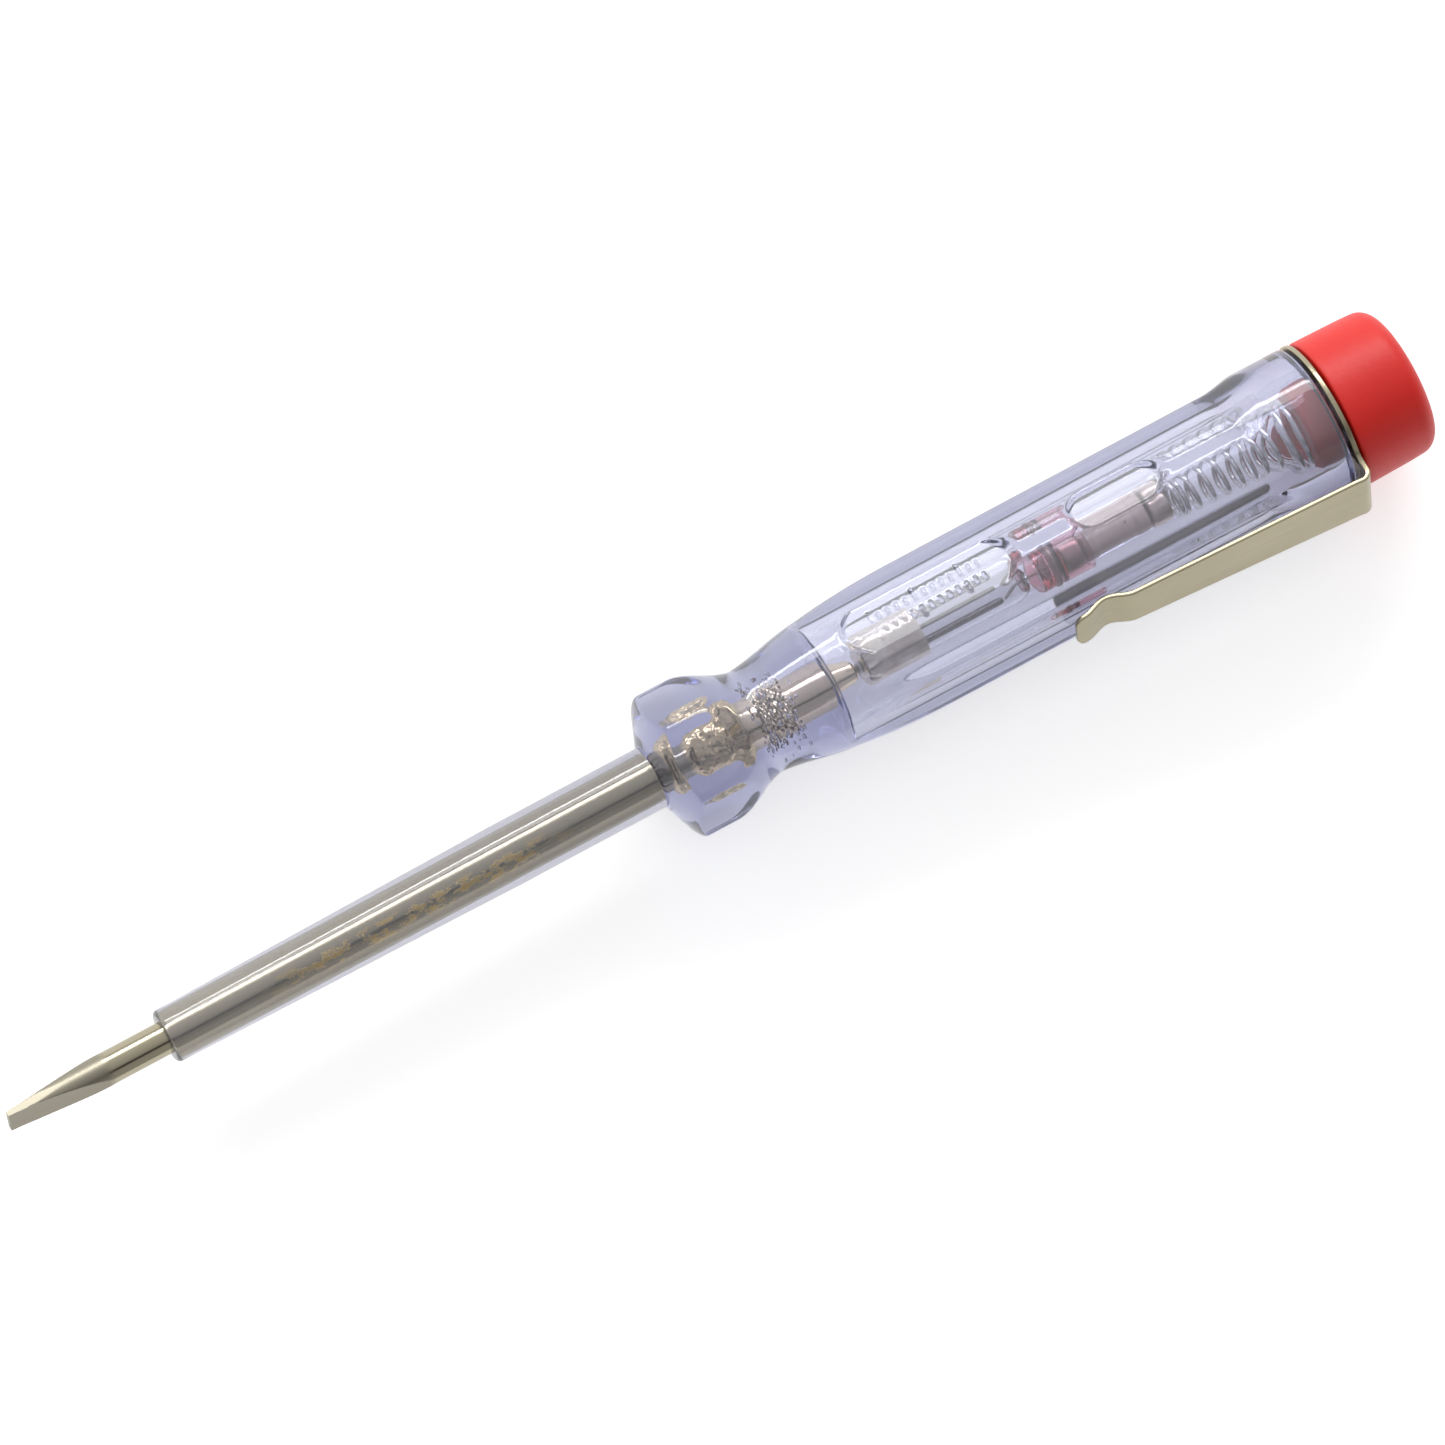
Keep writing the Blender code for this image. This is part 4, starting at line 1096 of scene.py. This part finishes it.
# %% [markdown]
# The ring and its tab come first, as one flat outline round the axis. The tab's outer edge is
# one edge per column, and each extrusion of those edges gives the next row of the arm.

# %% Sheet of the clip
def ring_reach(angle):
    """The ring's outer outline, with the tab drawn out of it on soft shoulders."""
    off = abs((angle + math.pi) % (2 * math.pi) - math.pi)
    top = (BEND_HEIGHT - BEND_ROUND) / max(math.cos(off), 0.1)
    side = BEND_HALF / max(math.sin(off), 0.01)
    if off > math.radians(60):
        return COLLAR_RADIUS
    return -smooth_min(-COLLAR_RADIUS, -smooth_min(top, side, 0.02 * MM), 1.4 * MM)


def ring_with_tab(shape):
    """The flat ring. Returns the edges that the arm grows from."""
    height = BEND_HEIGHT - BEND_ROUND
    tab = [math.atan2(BEND_HALF * (2 * i / COLUMNS - 1), height) for i in range(COLUMNS + 1)]
    rest = stops(tab[-1], 2 * math.pi + tab[0], math.radians(2.5))[1:]
    inner, outer = [], []
    for angle in tab + rest:
        direction = CLIP_OUT * math.cos(angle) + CLIP_SIDE * math.sin(angle)
        base = Vector((SHEET_STATION, 0, 0))
        inner.append(shape.verts.new(base + direction * CHAMBER_REAR))
        reach = height / math.cos(angle) if angle in tab else ring_reach(angle)
        outer.append(shape.verts.new(base + direction * reach))
    loops = []
    for loop in (inner, outer):
        loops += [shape.edges.new(pair) for pair in zip(loop, loop[1:] + loop[:1])]
    bmesh.ops.bridge_loops(shape, edges=loops)
    return [shape.edges.get(pair) for pair in zip(outer[:COLUMNS], outer[1 : COLUMNS + 1])]


def grow_arm(shape, row):
    """Extrudes the row round the bend and along the arm."""
    tip = ring_high.x - CLIP_LENGTH
    for station, level in arm_path():
        grown = bmesh.ops.extrude_edge_only(shape, edges=row)["geom"]
        row = [e for e in grown if isinstance(e, bmesh.types.BMEdge) and all(v in grown for v in e.verts)]
        half = arm_half(station - tip)
        verts = {v for e in row for v in e.verts}
        ordered = sorted(verts, key=lambda v: v.co.dot(CLIP_SIDE))
        for i, vert in enumerate(ordered):
            vert.co = Vector((station, 0, 0)) + CLIP_OUT * level + CLIP_SIDE * half * (2 * i / COLUMNS - 1)


clip_sheet = bmesh.new()
grow_arm(clip_sheet, ring_with_tab(clip_sheet))
bmesh.ops.recalc_face_normals(clip_sheet, faces=clip_sheet.faces)
print("faces in the sheet", len(clip_sheet.faces))

# %% [markdown]
# Solidify gives the sheet its thickness about its middle, and Bevel breaks the sheared edges.
# Both are worked out into the mesh.

# %% Thickness and bend
def make_clip(shape):
    clip = new_piece("pocket_clip", shape, CLIP_PLATE, 35)
    thick = clip.modifiers.new("Sheet", "SOLIDIFY")
    thick.thickness = SHEET
    thick.offset = 0.0
    thick.use_even_offset = True
    edges = clip.modifiers.new("Edges", "BEVEL")
    edges.width = 0.09 * MM
    edges.segments = 2
    edges.limit_method = "ANGLE"
    edges.angle_limit = math.radians(50)
    finished = bpy.data.meshes.new_from_object(clip.evaluated_get(bpy.context.evaluated_depsgraph_get()))
    clip.modifiers.clear()
    clip.data = finished
    finished.set_sharp_from_angle(angle=math.radians(60))
    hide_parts("clip_ring", "clip_arm")
    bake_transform(clip)
    return clip


make_clip(clip_sheet)

# %% [markdown]
# ## Floor and studio light
#
# The tool lies on a pale, seamless table. The table is large, so it never ends in view, and it
# glows a little, as a light table does, which keeps it pale while the tool is lit softly.

# %% Floor
TABLE_SIZE = 4.0
TABLE_GAP = 0.1 * MM


def floor_paint():
    made = Finish("floor_paint")
    mottle = made.noise(14.0, 3.0)
    return made.surface(
        Base_Color=made.mix(mottle, rgb(0.80, 0.80, 0.80), rgb(0.83, 0.83, 0.83)),
        Roughness=0.85, Specular_IOR_Level=0.1,
        Emission_Color=rgb(1.0, 1.0, 1.0), Emission_Strength=0.52,
    )


shape = bmesh.new()
bmesh.ops.create_grid(shape, x_segments=2, y_segments=2, size=TABLE_SIZE)
bmesh.ops.translate(shape, verts=shape.verts, vec=(cad_high.x / 2, 0, cad_low.z - TABLE_GAP))
new_piece("table", shape, floor_paint())

# %% [markdown]
# A bright tent surrounds the tool, with two long soft boxes on the far side. The broad one
# lights the pads, and the narrow, brighter one draws the streak along the handle's corner.
# Clear plastic and plate only look like themselves with something dark to show as well, so the
# tent has a dark band on the near side. Its brightness changes round the tool's axis only.

# %% Tent and soft boxes
TENT = (  # (share of the way from the near side over the top to the far side, brightness)
    (0.0, 0.50), (0.27, 0.46), (0.308, 0.03), (0.342, 0.03),
    (0.39, 0.50), (0.55, 0.70), (0.75, 0.90), (1.0, 0.80),
)


def light_tent():
    world = bpy.data.worlds.new("tent")
    bpy.context.scene.world = world
    world.use_nodes = True
    tree = world.node_tree
    tree.nodes.clear()
    place = tree.nodes.new("ShaderNodeTexCoord")
    split = tree.nodes.new("ShaderNodeSeparateXYZ")
    turn = tree.nodes.new("ShaderNodeMath")
    turn.operation = "ARCTAN2"
    spread = tree.nodes.new("ShaderNodeMapRange")
    spread.inputs["From Min"].default_value = -math.pi / 2
    spread.inputs["From Max"].default_value = math.pi / 2
    ramp = tree.nodes.new("ShaderNodeValToRGB")
    while len(ramp.color_ramp.elements) < len(TENT):
        ramp.color_ramp.elements.new(1.0)
    for element, (position, level) in zip(ramp.color_ramp.elements, TENT):
        element.position = position
        element.color = (level, level, level * 1.01, 1.0)
    back = tree.nodes.new("ShaderNodeBackground")
    out = tree.nodes.new("ShaderNodeOutputWorld")
    tree.links.new(place.outputs["Generated"], split.inputs[0])
    tree.links.new(split.outputs["Y"], turn.inputs[0])
    tree.links.new(split.outputs["Z"], turn.inputs[1])
    tree.links.new(turn.outputs[0], spread.inputs["Value"])
    tree.links.new(spread.outputs[0], ramp.inputs["Fac"])
    tree.links.new(ramp.outputs["Color"], back.inputs["Color"])
    tree.links.new(back.outputs[0], out.inputs[0])


def soft_box(name, direction, distance, size, power):
    """A rectangular lamp that faces the tool."""
    data = bpy.data.lights.new(name, "AREA")
    data.shape = "RECTANGLE"
    data.size, data.size_y = size
    data.energy = power
    box = bpy.data.objects.new(name, data)
    bpy.context.scene.collection.objects.link(box)
    centre = Vector((cad_high.x / 2, 0, 0))
    box.location = centre + Vector(direction).normalized() * distance
    box.rotation_euler = (-Vector(direction)).to_track_quat("-Z", "Y").to_euler()
    return box


light_tent()
soft_box("far_box", (0.2, 0.82, 0.54), 1.6, (1.6, 0.42), 8.0)
soft_box("streak_box", (0.19, 0.878, 0.438), 1.62, (1.8, 0.16), 9.0)
bpy.context.scene.view_settings.view_transform = "Standard"
